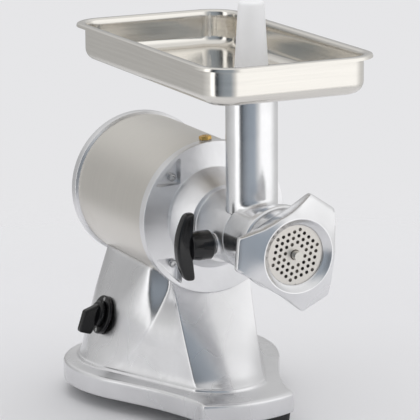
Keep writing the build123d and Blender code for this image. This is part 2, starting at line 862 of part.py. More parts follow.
def cord_gland():
    """Cable gland through the pedestal's rear wall."""
    face = gland_face_y()
    body = rod_y(gland_radius, face - 2 * base_wall - gland_inside, face + gland_flange, z=-gland_drop)
    body += rod_y(gland_flange_radius, face, face + gland_flange, z=-gland_drop)
    return body - rod_y(gland_bore, face - 2 * base_wall - gland_inside, face + gland_flange, z=-gland_drop)


def capacitor():
    """Run capacitor standing on the base cover."""
    floor = base_bottom + cover_sheet
    return rod_z(capacitor_radius, floor, floor + capacitor_height, *capacitor_place)


def terminal_block():
    """Terminal block on the base cover."""
    x, y = terminal_place
    length, width, height = terminal_size
    floor = base_bottom + cover_sheet
    return block((x - length / 2, x + length / 2), (y - width / 2, y + width / 2), (floor, floor + height))


def head_casting():
    """Tee-shaped grinding head: barrel, feed tube, threaded nose and rear spigot."""
    body = rod_y(thread_radius, barrel_front_y, neck_collar_front_y)
    body += rod_y(neck_collar_radius, neck_collar_front_y, neck_collar_rear_y)
    body += rod_y(barrel_radius, neck_collar_rear_y, collar_front_y)
    body += rod_y(spigot_radius, collar_front_y, spigot_rear_y)
    body += rod_z(tube_radius, 0, tube_top)
    body -= rod_y(bore_radius, barrel_front_y, head_wall_front_y)
    body -= rod_y(tail_bore_radius, head_wall_front_y, spigot_rear_y)
    body -= rod_y(hole_plate_radius + run_gap, barrel_front_y, hole_plate_rear_y)
    body -= rod_z(tube_bore, 0, tube_top)
    return body - rod_y(key_radius, barrel_front_y, hole_plate_rear_y + key_depth, z=-key_circle)


def plate_key():
    """Pin in the barrel's seat that keeps the hole plate from turning."""
    return rod_y(key_radius, barrel_front_y, hole_plate_rear_y + key_depth, z=-key_circle)


def thrust_washer_ring():
    """Plastic washer behind the auger."""
    front = head_wall_front_y - thrust_washer
    body = rod_y(bore_radius, front, head_wall_front_y)
    return body - rod_y(tail_bore_radius, front, head_wall_front_y)


def auger():
    """Feed screw: core, flight, square tail, and a square nose drilled for the centring pin."""
    washer_front = head_wall_front_y - thrust_washer
    core_front = knife_front_y() + knife_thickness
    tail_end = output_front_y + tail_length
    body = rod_y(auger_core_radius, core_front, washer_front - run_gap)
    body += rod_y(auger_neck_radius, washer_front - run_gap, output_front_y)
    body += along_y(Rectangle(tail_side, tail_side), output_front_y, tail_end)
    body += along_y(Rectangle(knife_square, knife_square), knife_front_y(), core_front)
    body -= rod_y(pin_radius, knife_front_y(), knife_front_y() + pin_seat)
    flight_rear = washer_front - run_gap - auger_flight
    flight_length = flight_rear - core_front - auger_flight
    outer = bore_radius - auger_flight_gap
    inner = auger_core_radius - auger_root
    middle = (outer + inner) / 2
    path = Helix(auger_pitch, flight_length, middle, center=(0, flight_rear, 0), direction=(0, -1, 0))
    start = path @ 0
    radial = Vector(start.X, 0, start.Z)
    profile = Plane(start, x_dir=radial, z_dir=path % 0) * Rectangle(outer - inner, auger_flight)
    return body + sweep(profile, path=path, is_frenet=True)


def auger_pin():
    """Pin in the auger's nose that runs in the hole plate's middle."""
    return rod_y(pin_radius, plate_front_y - pin_reach, knife_front_y() + pin_seat)


def knife_front_y():
    """Front face of the knife, a hair behind the hole plate."""
    return hole_plate_rear_y + run_gap


def knife():
    """Four-armed knife on the auger's square nose."""
    front = knife_front_y()
    outline = Circle(knife_hub_radius)
    for arm in range(4):
        blade = Pos(knife_tip_radius / 2, knife_lean) * Rectangle(knife_tip_radius, knife_blade)
        outline += Rot(0, 0, 90 * arm) * blade
    outline -= Rectangle(knife_square, knife_square)
    body = along_y(outline, front, front + knife_thickness)
    return body & rod_y(knife_tip_radius, front, front + knife_thickness)


def hole_places():
    """Hexagonal rings of holes about the plate's middle."""
    places = []
    for across in range(-hole_last_ring, hole_last_ring + 1):
        for up in range(-hole_last_ring, hole_last_ring + 1):
            ring = max(abs(across), abs(up), abs(across + up))
            if hole_first_ring <= ring <= hole_last_ring:
                places.append((hole_pitch * (across + up / 2), hole_pitch * up * math.sqrt(0.75)))
    return places


def hole_plate():
    """Steel plate with three hexagonal rings of holes and a keyway at its foot."""
    outline = Circle(hole_plate_radius) - Circle(pin_radius + run_gap)
    holes = [Pos(x, z) * Circle(hole_radius) for x, z in hole_places()]
    outline -= Rot(0, 0, 90 - hole_tilt) * Sketch(children=holes)
    outline -= Pos(0, -key_circle) * Circle(key_radius + run_gap)
    mouth = Rectangle(2 * (key_radius + run_gap), 2 * (hole_plate_radius - key_circle))
    outline -= Pos(0, -hole_plate_radius) * mouth
    return along_y(outline, plate_front_y, hole_plate_rear_y)


def ring_nut():
    """Three-lobed nut with a conical mouth that clamps the hole plate."""
    edges = []
    half = nut_lobe_width / 2
    for lobe in range(3):
        turn = math.radians(nut_lobe_angle + 120 * lobe)
        ends = []
        for side in (-half, half):
            x = nut_lobe_reach * math.cos(turn) - side * math.sin(turn)
            z = nut_lobe_reach * math.sin(turn) + side * math.cos(turn)
            ends.append((x, z))
        edges.append(Line(*ends))
        next_turn = turn + math.radians(120)
        waist_turn = turn + math.radians(60)
        waist = (nut_waist * math.cos(waist_turn), nut_waist * math.sin(waist_turn))
        x = nut_lobe_reach * math.cos(next_turn) + half * math.sin(next_turn)
        z = nut_lobe_reach * math.sin(next_turn) - half * math.cos(next_turn)
        edges.append(ThreePointArc(ends[1], waist, (x, z)))
    outline = make_face(edges)
    outline = fillet(outline.vertices(), nut_lobe_round)
    body = along_y(outline, nut_rim_y, nut_lobe_rear_y)
    reach = math.hypot(nut_lobe_reach, half) + run_gap
    slope = (nut_lobe_front_y - nut_rim_y) / (nut_lobe_reach - nut_rim_radius)
    body &= turned_y(
        [
            (0, nut_rim_y),
            (nut_rim_radius, nut_rim_y),
            (reach, nut_rim_y + slope * (reach - nut_rim_radius)),
            (reach, nut_lobe_rear_y),
            (0, nut_lobe_rear_y),
        ]
    )
    body += rod_y(nut_skirt_radius, nut_lobe_rear_y, nut_rear_y)
    thread_end = barrel_front_y - run_gap
    body -= turned_y(
        [
            (0, nut_rim_y),
            (nut_bowl_radius, nut_rim_y),
            (nut_mouth_radius, plate_front_y),
            (hole_plate_radius + run_gap, plate_front_y),
            (hole_plate_radius + run_gap, thread_end),
            (thread_radius + run_gap, thread_end),
            (thread_radius + run_gap, nut_rear_y),
            (0, nut_rear_y),
        ]
    )
    return body


def lock_washer_ring():
    """Washer between the collar's pad and the knob."""
    outer = -lock_pad_x - lock_washer
    body = rod_x(lock_washer_radius, outer, -lock_pad_x, lock_y, -lock_drop)
    return body - rod_x(lock_stud_radius + run_gap, outer, -lock_pad_x, lock_y, -lock_drop)


def lock_stud():
    """Threaded stud from the knob through the collar to the head's spigot."""
    outer = -lock_pad_x - lock_washer - lock_hub_socket
    return rod_x(lock_stud_radius, outer, -spigot_radius - run_gap, lock_y, -lock_drop)


def lock_knob():
    """Plastic knob: round hub and two wings with a bowed outer edge."""
    inner = -lock_pad_x - lock_washer
    shoulder = inner - lock_hub
    outer = shoulder - wing_depth
    tip = wing_span / 2
    body = rod_x(lock_hub_radius, shoulder - wing_thickness / 2, inner, lock_y, -lock_drop)
    tip_inner = shoulder - wing_tip_setback
    tip_outer = tip_inner - wing_tip_depth
    edges = [
        ThreePointArc((tip_outer, -tip), (outer, 0), (tip_outer, tip)),
        Line((tip_outer, tip), (tip_inner, tip)),
        Line((tip_inner, tip), (shoulder, lock_hub_radius)),
        Line((shoulder, lock_hub_radius), (shoulder, -lock_hub_radius)),
        Line((shoulder, -lock_hub_radius), (tip_inner, -tip)),
        Line((tip_inner, -tip), (tip_outer, -tip)),
    ]
    half = wing_thickness / 2
    outline = make_face(edges)
    corners = [vertex for vertex in outline.vertices() if abs(vertex.Y) > lock_hub_radius + run_gap]
    outline = fillet(corners, wing_tip_round)
    body += Pos(0, 0, -lock_drop) * along_y(outline, lock_y - half, lock_y + half)
    return body - rod_x(lock_stud_radius, inner - lock_hub_socket, inner, lock_y, -lock_drop)


def tray():
    """Pressed steel pan with a turned-down rim and a sleeve that drops into the feed tube."""
    middle = (tray_front_y + tray_rear_y) / 2
    length = tray_rear_y - tray_front_y
    lift = Pos(0, middle, tray_floor)
    width_in = tray_width - 2 * tray_flange
    length_in = length - 2 * tray_flange

    def pan(wall):
        plan = RectangleRounded(width_in - 2 * wall, length_in - 2 * wall, tray_corner - wall)
        box = extrude(Pos(0, 0, wall) * plan, amount=tray_depth - wall)
        return fillet(box.faces().sort_by(Axis.Z)[0].edges(), tray_bottom_radius - wall)

    def rim(inset, height):
        corner = tray_corner + tray_flange - inset
        plan = RectangleRounded(tray_width - 2 * inset, length - 2 * inset, corner)
        return extrude(Pos(0, 0, tray_depth - height) * plan, amount=height)

    body = rim(0, tray_lip) - rim(tray_sheet, tray_lip) + rim(0, tray_sheet)
    body = body + pan(0) - pan(tray_sheet)
    sleeve_radius = tube_bore - sleeve_gap
    body = lift * body
    body += rod_z(sleeve_radius, tray_floor - sleeve_length, tray_floor_top)
    return body - rod_z(sleeve_radius - tray_sheet, tray_floor - sleeve_length, tray_floor_top)


def pusher():
    """Plastic pusher that hangs in the feed tube by its collar on the tray's floor."""
    collar_top = tray_floor_top + pusher_collar
    body = turned_z(
        [
            (0, pusher_bottom),
            (pusher_shank_radius, pusher_bottom),
            (pusher_shank_radius, tray_floor_top),
            (pusher_collar_radius, tray_floor_top),
            (pusher_collar_radius, collar_top),
            (pusher_body_radius, collar_top),
            (pusher_top_radius, pusher_top),
            (0, pusher_top),
        ]
    )
    return fillet(body.edges().sort_by(Axis.Z)[-1], pusher_crown)


def group(pieces):
    """Like pieces that share one node."""
    return Compound(children=list(pieces))


nodes = {
    "base_casting": base_casting(),
    "base_cover": base_cover(),
    "foot_screws": group(foot_screw(x, y) for x, y in foot_places()),
    "seat_bolts": group(seat_bolt(x, y) for x, y in seat_bolt_places()),
    "motor_shell": motor_shell(),
    "front_cover": front_cover(),
    "rear_cover": rear_cover(),
    "tie_rods": group(tie_rod(x, z) for x, z in tie_rod_places()),
    "gear_plate": gear_plate(),
    "oil_plug": oil_plug(),
    "oil_washer": oil_washer(),
    "stator_core": stator_core(),
    "winding_front": winding(stator_front_y - winding_length),
    "winding_rear": winding(stator_rear_y),
    "rotor_core": rotor_core(),
    "rotor_shaft": rotor_shaft(),
    "rotor_pinion": gear(pinion_teeth, -90, second_stage_y, rotor_nose_radius),
    "fan": fan(),
    "rotor_bearing_front": bearing(rotor_bearing, gear_plate_y),
    "rotor_bearing_rear": bearing(rotor_bearing, rear_disc_front_y - rotor_bearing[2]),
    "layshaft": layshaft(),
    "lay_wheel": gear(wheel_teeth, 90 + 180 / wheel_teeth, second_stage_y, lay_bearing[0], -stage_distance),
    "lay_pinion": gear(pinion_teeth, 90, first_stage_y, lay_bearing[0], -stage_distance),
    "lay_bearing_front": bearing(lay_bearing, dish_rear_y, -stage_distance),
    "lay_bearing_rear": bearing(lay_bearing, gear_plate_y, -stage_distance),
    "output_shaft": output_shaft(),
    "output_wheel": gear(wheel_teeth, -90 + 180 / wheel_teeth, first_stage_y, output_bearing[0]),
    "output_bearing_front": bearing(output_bearing, seal_y + seal_width),
    "output_bearing_rear": bearing(output_bearing, dish_rear_y - output_bearing[2]),
    "oil_seal": oil_seal(),
    "switch_plate": switch_plate(),
    "switch_screws": group(switch_screw(z) for z in switch_screw_levels()),
    "switch_body": switch_body(),
    "switch_knob": switch_knob(),
    "cord_gland": cord_gland(),
    "capacitor": capacitor(),
    "terminal_block": terminal_block(),
    "head_casting": head_casting(),
    "plate_key": plate_key(),
    "thrust_washer": thrust_washer_ring(),
    "auger": auger(),
    "auger_pin": auger_pin(),
    "knife": knife(),
    "hole_plate": hole_plate(),
    "ring_nut": ring_nut(),
    "lock_washer": lock_washer_ring(),
    "lock_stud": lock_stud(),
    "lock_knob": lock_knob(),
    "tray": tray(),
    "pusher": pusher(),
}
for number, (x, y) in enumerate(foot_places(), 1):
    nodes[f"foot_{number}"] = foot(x, y)
for number, (x, z) in enumerate(screw_places(), 1):
    nodes[f"front_screw_{number}"] = front_screw(x, z)

for name, solid in nodes.items():
    export_step(solid.moved(place), f"parts/{name}.step")
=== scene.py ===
import math

import bmesh
import bpy
from mathutils import Matrix, Vector


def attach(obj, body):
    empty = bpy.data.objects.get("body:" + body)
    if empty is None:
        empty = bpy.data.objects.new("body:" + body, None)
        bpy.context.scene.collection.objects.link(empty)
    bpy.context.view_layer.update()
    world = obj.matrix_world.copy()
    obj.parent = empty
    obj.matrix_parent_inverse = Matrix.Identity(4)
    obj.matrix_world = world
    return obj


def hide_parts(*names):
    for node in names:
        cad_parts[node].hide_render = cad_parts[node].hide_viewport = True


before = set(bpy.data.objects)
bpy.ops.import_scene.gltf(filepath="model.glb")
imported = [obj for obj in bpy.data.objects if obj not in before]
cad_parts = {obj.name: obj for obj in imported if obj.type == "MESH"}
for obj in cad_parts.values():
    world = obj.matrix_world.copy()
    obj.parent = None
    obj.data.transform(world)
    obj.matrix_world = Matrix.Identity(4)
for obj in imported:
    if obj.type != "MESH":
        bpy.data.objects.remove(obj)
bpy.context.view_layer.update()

scene = bpy.context.scene
scene.view_settings.view_transform = "Standard"

# Camera. A long lens, a little to the left of the machine's front and above it, and turned a trace about
# its own axis; its focal length is given in pixels of the picture.
aim = Vector((-0.0514, -0.1026, 0.2655))
azimuth, elevation, roll = math.radians(-25.75), math.radians(13.23), math.radians(-0.4)
distance, film_width = 2.853, 36.0
focal_pixels, photo_pixels = 2600, 420
towards_camera = Vector((
    math.sin(azimuth) * math.cos(elevation),
    -math.cos(azimuth) * math.cos(elevation),
    math.sin(elevation),
))
camera_data = bpy.data.cameras.new("camera")
camera_data.sensor_width = film_width
camera_data.lens = focal_pixels / photo_pixels * film_width
camera_data.clip_end = 30.0
camera = bpy.data.objects.new("camera", camera_data)
scene.collection.objects.link(camera)
camera.matrix_world = (
    Matrix.Translation(aim + distance * towards_camera)
    @ towards_camera.to_track_quat("Z", "Y").to_matrix().to_4x4()
    @ Matrix.Rotation(roll, 4, "Z")
)
scene.camera = camera


# Studio. Pale walls that the metal mirrors, bright above and at the right, with a dim room behind the
# camera and a tall bright strip at its left; one wide soft lamp from above lights a table of pale paper.
def node(tree, kind, sockets=None, **settings):
    """Adds a node: settings are its properties, sockets its values or links by input."""
    made = tree.nodes.new(kind)
    for name, value in settings.items():
        setattr(made, name, value)
    for name, value in (sockets or {}).items():
        if isinstance(value, bpy.types.NodeSocket):
            tree.links.new(value, made.inputs[name])
        else:
            made.inputs[name].default_value = value
    return made


def ramp(tree, value, low, high, start, end):
    """Soft step of a value between two limits."""
    limits = {"Value": value, "From Min": low, "From Max": high, "To Min": start, "To Max": end}
    return node(tree, "ShaderNodeMapRange", limits, interpolation_type="SMOOTHSTEP").outputs["Result"]


def maths(tree, operation, *values):
    """Outcome of a sum on values or links."""
    return node(tree, "ShaderNodeMath", dict(enumerate(values)), operation=operation).outputs[0]


def mixed(tree, share, first, second):
    """Colour between two others."""
    return node(tree, "ShaderNodeMix", {0: share, 6: first, 7: second}, data_type="RGBA").outputs[2]


def shone(tree, share, first, second):
    """Shader between two others."""
    return node(tree, "ShaderNodeMixShader", {0: share, 1: first, 2: second}).outputs[0]


world = bpy.data.worlds.new("studio")
scene.world = world
world.use_nodes = True
sky = world.node_tree
way = node(sky, "ShaderNodeTexCoord").outputs["Generated"]
across, along, height = node(sky, "ShaderNodeSeparateXYZ", {"Vector": way}).outputs
bearing = maths(sky, "ARCTAN2", across, maths(sky, "MULTIPLY", along, -1.0))
round_room = node(sky, "ShaderNodeMapRange", {
    "Value": bearing, "From Min": -math.pi, "From Max": math.pi,
}).outputs[0]
walls = node(sky, "ShaderNodeValToRGB", {"Fac": round_room})
wall_levels = (
    (-180, 0.45), (-156, 0.48), (-123, 0.68), (-106, 0.78), (-100, 1.45), (-84, 1.45), (-79, 0.06),
    (-69, 0.06), (-59, 0.22), (-42, 0.33), (-14, 0.37), (4, 0.74), (15, 1.20), (40, 1.22), (64, 1.20),
    (78, 0.95), (96, 0.70), (128, 0.62), (156, 0.47), (180, 0.45),
)
top_level, table_level, brightest = 0.85, 0.66, 1.5
shade_level, shade_cast = 0.5, 1.14
stops = walls.color_ramp.elements
stops.remove(stops[1])
for degrees, level in wall_levels:
    stop = stops[0] if degrees == -180 else stops.new((degrees + 180) / 360)
    cool = shade_cast if level < shade_level and abs(degrees) < 90 else 1.0
    stop.color = (level / cool / brightest, level / brightest, level * cool / brightest, 1)
ceiling_way = (0.05, 0.2, 0.98)
upward = node(sky, "ShaderNodeVectorMath", {0: way, 1: ceiling_way}, operation="DOT_PRODUCT").outputs["Value"]
above = ramp(sky, upward, 0.3, 0.8, 0.0, 1.0)
below = ramp(sky, height, -0.3, -0.6, 0.0, 1.0)
top_tone = (top_level / brightest,) * 3 + (1,)
table_tone = (table_level / brightest,) * 3 + (1,)
room = mixed(sky, below, mixed(sky, above, walls.outputs[0], top_tone), table_tone)
pale_paper, white_paper, soft_light = (0.79, 0.79, 0.805, 1), (0.82, 0.82, 0.835, 1), (0.86, 0.86, 0.868, 1)
ray = node(sky, "ShaderNodeLightPath").outputs
backdrop, mirrored, ambient = (
    node(sky, "ShaderNodeBackground", {"Color": colour, "Strength": strength}).outputs[0]
    for colour, strength in ((pale_paper, 1.0), (room, brightest), (soft_light, 1.0))
)
lit = shone(sky, ray["Is Glossy Ray"], ambient, mirrored)
seen = shone(sky, ray["Is Camera Ray"], lit, backdrop)
sky.links.new(seen, sky.nodes["World Output"].inputs["Surface"])

overhead = bpy.data.lights.new("overhead", "SUN")
overhead.energy = 0.40
overhead.angle = math.radians(70)
overhead_lamp = bpy.data.objects.new("overhead", overhead)
scene.collection.objects.link(overhead_lamp)
overhead_way = Vector((0.22, 0.0, 1.0))
overhead_lamp.rotation_euler = overhead_way.to_track_quat("Z", "Y").to_euler()
overhead_lamp.visible_glossy = False

floor_radius, fade_start, fade_end, floor_drop = 1.3, 0.55, 1.2, 0.0004
floor_place = Matrix.Translation((0, 0, -floor_drop))
floor_mesh = bmesh.new()
bmesh.ops.create_circle(floor_mesh, cap_ends=True, segments=96, radius=floor_radius, matrix=floor_place)
floor_data = bpy.data.meshes.new("floor")
floor_mesh.to_mesh(floor_data)
floor = bpy.data.objects.new("floor", floor_data)
scene.collection.objects.link(floor)
paper = bpy.data.materials.new("paper_sweep")
paper.use_nodes = True
paper_tree = paper.node_tree
paper_shader = paper_tree.nodes["Principled BSDF"]
paper_shader.inputs["Roughness"].default_value = 0.7
paper_place = node(paper_tree, "ShaderNodeTexCoord").outputs["Object"]
paper_grain = node(paper_tree, "ShaderNodeTexNoise", {"Vector": paper_place, "Scale": 3.0}).outputs[0]
paper_tone = mixed(paper_tree, paper_grain, pale_paper, white_paper)
paper_tree.links.new(paper_tone, paper_shader.inputs["Base Color"])
paper_reach = node(paper_tree, "ShaderNodeVectorMath", {0: paper_place}, operation="LENGTH").outputs["Value"]
paper_end = ramp(paper_tree, paper_reach, fade_start, fade_end, 0.0, 1.0)
paper_clear = node(paper_tree, "ShaderNodeBsdfTransparent").outputs[0]
paper_look = shone(paper_tree, paper_end, paper_shader.outputs[0], paper_clear)
paper_tree.links.new(paper_look, paper_tree.nodes["Material Output"].inputs["Surface"])
floor_data.materials.append(paper)


# Feet. Four square blocks of black moulded rubber, tapered to the floor, each with a sunk seat for the
# screw that holds it under the base.
tube_setback, axis_height = 102.6, 232.0


def drawn(x, y, z):
    """A point in millimetres from where the feed tube's axis meets the head's, in the part's metres."""
    return Vector((x, y - tube_setback, z + axis_height)) * 0.001


def smooth(piece, edge_angle=38):
    """Smooth shading that leaves sharp edges sharp."""
    piece.data.polygons.foreach_set("use_smooth", [True] * len(piece.data.polygons))
    piece.data.set_sharp_from_angle(angle=math.radians(edge_angle))


def skin(name, rows, ring=False, edge_angle=38, capped=True):
    """Skin over loops of points: the ends are capped or left open, or joined where the rows are a ring."""
    mesh = bmesh.new()
    loops = [[mesh.verts.new(drawn(*point)) for point in row] for row in rows]
    if ring:
        loops.append(loops[0])
    for low, high in zip(loops, loops[1:]):
        for step in range(len(low)):
            after = (step + 1) % len(low)
            mesh.faces.new((low[step], low[after], high[after], high[step]))
    if capped and not ring:
        mesh.faces.new(loops[0][::-1])
        mesh.faces.new(loops[-1])
    bmesh.ops.remove_doubles(mesh, verts=mesh.verts, dist=2e-6)
    bmesh.ops.recalc_face_normals(mesh, faces=mesh.faces)
    data = bpy.data.meshes.new(name)
    mesh.to_mesh(data)
    mesh.free()
    piece = bpy.data.objects.new(name, data)
    scene.collection.objects.link(piece)
    smooth(piece, edge_angle)
    return piece


def plain_mesh(piece, edge_angle=38):
    """Keeps what a piece's modifiers make of it as its own mesh."""
    made = bpy.data.meshes.new_from_object(piece.evaluated_get(bpy.context.evaluated_depsgraph_get()))
    piece.modifiers.clear()
    piece.data = made
    smooth(piece, edge_angle)


def between(first, second, share):
    """Point on the line from one point to another, by its share of the way."""
    return tuple(a + share * (b - a) for a, b in zip(first, second))


def around(radius, angles):
    """Points on a circle at the given angles."""
    return [(radius * math.cos(angle), radius * math.sin(angle)) for angle in angles]


def square_loop(width, length, radius, corner_steps=8, side_steps=3):
    """Rectangle with round corners, anticlockwise from where its right side meets the rear corner."""
    across, along = width / 2 - radius, length / 2 - radius
    middles = ((across, along), (-across, along), (-across, -along), (across, -along))
    loop = []
    for quarter, (x, y) in enumerate(middles):
        angles = [math.pi / 2 * (quarter + step / corner_steps) for step in range(corner_steps + 1)]
        arc = around(radius, angles)
        loop += [(x + right, y + back) for right, back in arc]
        right, back = arc[-1]
        next_x, next_y = middles[(quarter + 1) % 4]
        start, end = loop[-1], (next_x + right, next_y + back)
        loop += [between(start, end, step / side_steps) for step in range(1, side_steps)]
    return loop


FLOAT, COLOUR, VECTOR = "NodeSocketFloat", "NodeSocketColor", "NodeSocketVector"
INTEGER, GEOMETRY, MATERIAL = "NodeSocketInt", "NodeSocketGeometry", "NodeSocketMaterial"


def finish_group(name, inputs):
    """Shader group of a finish: its place and the (name, type) inputs go in, the surface comes out."""
    group = bpy.data.node_groups.new(name, "ShaderNodeTree")
    for title, kind in [("Place", VECTOR), *inputs]:
        group.interface.new_socket(title, in_out="INPUT", socket_type=kind)
    for title, kind in (("Colour", COLOUR), ("Roughness", FLOAT), ("Height", FLOAT)):
        group.interface.new_socket(title, in_out="OUTPUT", socket_type=kind)
    return group, node(group, "NodeGroupInput").outputs


def finished(name, group, values, relief, depth, metal=1.0, sheen_level=0.5):
    """Material with the surface of a finish group, whose height is a relief of so many metres."""
    material = bpy.data.materials.new(name)
    material.use_nodes = True
    tree = material.node_tree
    shader = tree.nodes["Principled BSDF"].inputs
    shader["Metallic"].default_value = metal
    shader["Specular IOR Level"].default_value = sheen_level
    place = node(tree, "ShaderNodeTexCoord").outputs["Object"]
    surface = node(tree, "ShaderNodeGroup", {"Place": place, **values}, node_tree=group).outputs
    bump = node(tree, "ShaderNodeBump", {"Strength": relief, "Distance": depth, "Height": surface["Height"]})
    tree.links.new(surface["Colour"], shader["Base Color"])
    tree.links.new(surface["Roughness"], shader["Roughness"])
    tree.links.new(bump.outputs["Normal"], shader["Normal"])
    return material


def noise(tree, place, scale, detail=2.0, stretch=None):
    """Noise over a piece, drawn out along its own axes if it is stretched."""
    if stretch:
        place = node(tree, "ShaderNodeMapping", {"Vector": place, "Scale": stretch}).outputs["Vector"]
    return node(tree, "ShaderNodeTexNoise", {"Vector": place, "Scale": scale, "Detail": detail}).outputs[0]


# Moulded skin: a fine matt grain and a dusty bloom, shared by rubber and plastics.
moulded_skin, given = finish_group("moulded_skin", [
    ("Colour", COLOUR), ("Bloom", COLOUR), ("Dust", FLOAT), ("Roughness", FLOAT), ("Grain size", FLOAT),
])
dusty = ramp(moulded_skin, noise(moulded_skin, given["Place"], 34.0, 4.0), 0.35, 0.75, 0.0, 1.0)
dusty = maths(moulded_skin, "MULTIPLY", dusty, given["Dust"])
node(moulded_skin, "NodeGroupOutput", {
    "Colour": mixed(moulded_skin, dusty, given["Colour"], given["Bloom"]),
    "Roughness": maths(moulded_skin, "MULTIPLY_ADD", dusty, 0.5, given["Roughness"]),
    "Height": noise(moulded_skin, given["Place"], given["Grain size"], 1.0),
})


def moulded(name, colour, bloom, dust, roughness, grain_size, relief, sheen_level=0.5):
    """Material of a moulded piece."""
    values = {
        "Colour": (*colour, 1), "Bloom": (*bloom, 1),
        "Dust": dust, "Roughness": roughness, "Grain size": grain_size,
    }
    return finished(name, moulded_skin, values, relief, depth=0.0004, metal=0.0, sheen_level=sheen_level)


def growth(name, grown, sizes):
    """Geometry tree that takes the grown piece, (name, type) sizes and a finish."""
    tree = bpy.data.node_groups.new(name, "GeometryNodeTree")
    for title, kind in [(grown, GEOMETRY), *sizes, ("Finish", MATERIAL)]:
        tree.interface.new_socket(title, in_out="INPUT", socket_type=kind)
    tree.interface.new_socket("Geometry", in_out="OUTPUT", socket_type=GEOMETRY)
    return tree, node(tree, "NodeGroupInput").outputs


def grow(piece, tree, geometry, finish, values, edge_angle=38):
    """Gives a tree's geometry its finish, runs it on a piece and keeps the result as a plain mesh."""
    real = node(tree, "GeometryNodeRealizeInstances", {0: geometry}).outputs[0]
    dressed = node(tree, "GeometryNodeSetMaterial", {"Geometry": real, "Material": finish})
    node(tree, "NodeGroupOutput", {"Geometry": dressed.outputs[0]})
    step = piece.modifiers.new("grow", "NODES")
    step.node_group = tree
    for item in tree.interface.items_tree:
        if item.name in values:
            step[item.identifier] = values[item.name]
    plain_mesh(piece, edge_angle)


def xyz(tree, **parts):
    """Vector put together from values or links."""
    return node(tree, "ShaderNodeCombineXYZ", parts).outputs[0]


def copies(tree, points, shape, turn=(0, 0, 0)):
    """Real copies of a shape, one at each point."""
    sockets = {"Points": points, "Instance": shape, "Rotation": turn}
    spread = node(tree, "GeometryNodeInstanceOnPoints", sockets).outputs[0]
    return node(tree, "GeometryNodeRealizeInstances", {0: spread}).outputs[0]


rubber = moulded("foot_rubber", (0.012, 0.012, 0.013), (0.09, 0.085, 0.08), 0.3, 0.62, 1400.0, 0.25)
seat_angles = [math.atan2(y, x) for x, y in square_loop(38, 38, 10)]
foot_loops = [
    (around(radius, seat_angles), z)
    for radius, z in ((0.4, -223.8), (5.6, -224.0), (6.0, -224.4), (6.0, -231.0), (6.8, -232.0))
]
foot_loops += [
    (square_loop(side, side, corner), z)
    for side, corner, z in (
        (31.0, 7.0, -232.0), (33.0, 8.0, -231.6), (34.2, 8.2, -230.4), (37.4, 9.8, -217.4),
        (37.0, 9.6, -216.4), (35.6, 9.0, -216.0), (8.0, 3.0, -216.0),
    )
]
feet = skin("feet", [[(x, tube_setback + y, z) for x, y in loop] for loop, z in foot_loops])
feet_tree, given = growth("feet_under_base", "Foot", [
    ("Front spread", FLOAT), ("Front row", FLOAT), ("Rear spread", FLOAT), ("Rear row", FLOAT),
])
foot_spots = node(feet_tree, "GeometryNodeJoinGeometry")
for spread, row in (("Front spread", "Front row"), ("Rear spread", "Rear row")):
    left = maths(feet_tree, "MULTIPLY", given[spread], -0.5)
    start, apart = xyz(feet_tree, X=left, Y=given[row]), xyz(feet_tree, X=given[spread])
    pair = node(feet_tree, "GeometryNodeMeshLine", {"Count": 2, "Start Location": start, "Offset": apart})
    feet_tree.links.new(pair.outputs[0], foot_spots.inputs[0])
grow(feet, feet_tree, copies(feet_tree, foot_spots.outputs[0], given["Foot"]), given["Finish"], {
    "Front spread": 0.072, "Front row": -0.0786, "Rear spread": 0.164, "Rear row": 0.1684, "Finish": rubber,
})
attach(feet, "chassis")
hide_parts("foot_1", "foot_2", "foot_3", "foot_4")


# Base casting. One hollow aluminium casting, buffed all over: a flanged foot, a plinth, and a pedestal
# whose front leg runs up between two ridges to the saddle under the drum.
def scaled(tree, vector, level):
    """A colour or a length, times a level."""
    return node(tree, "ShaderNodeVectorMath", {0: vector, "Scale": level}, operation="SCALE").outputs[0]


cast_skin, given = finish_group("cast_skin", [
    ("Colour", COLOUR), ("Roughness", FLOAT), ("Cloud size", FLOAT), ("Rub", FLOAT),
])
cloud = noise(cast_skin, given["Place"], given["Cloud size"], 3.0)
rub = ramp(cast_skin, noise(cast_skin, given["Place"], 14.0, 2.0, (1.0, 1.0, 0.4)), 0.25, 0.75, -1.0, 1.0)
pits = noise(cast_skin, given["Place"], 420.0, 1.0)
swells = noise(cast_skin, given["Place"], 55.0, 2.0)
node(cast_skin, "NodeGroupOutput", {
    "Colour": scaled(cast_skin, given["Colour"], ramp(cast_skin, cloud, 0.3, 0.7, 0.91, 1.04)),
    "Roughness": maths(cast_skin, "MULTIPLY_ADD", rub, given["Rub"], given["Roughness"]),
    "Height": maths(cast_skin, "MULTIPLY_ADD", pits, 0.01, swells),
})


def buffed_casting(name, colour, roughness, cloud_size, rub, relief):
    """Material of a buffed aluminium casting."""
    values = {"Colour": (*colour, 1), "Roughness": roughness, "Cloud size": cloud_size, "Rub": rub}
    return finished(name, cast_skin, values, relief, depth=0.001)


def spaced(points, count, ease=0.0):
    """So many points along a line from its start, without its end; eased ones crowd to both ends."""
    nothing = 1e-9
    reach = [0.0]
    for first, second in zip(points, points[1:]):
        reach.append(reach[-1] + math.dist(first, second))
    result = []
    for step in range(count):
        share = step / count
        share += ease * (0.5 - 0.5 * math.cos(math.pi * share) - share)
        goal = share * reach[-1]
        leg = max(i for i in range(len(points) - 1) if reach[i] <= goal + nothing)
        part = (goal - reach[leg]) / max(reach[leg + 1] - reach[leg], nothing)
        result.append(between(points[leg], points[leg + 1], part))
    return result


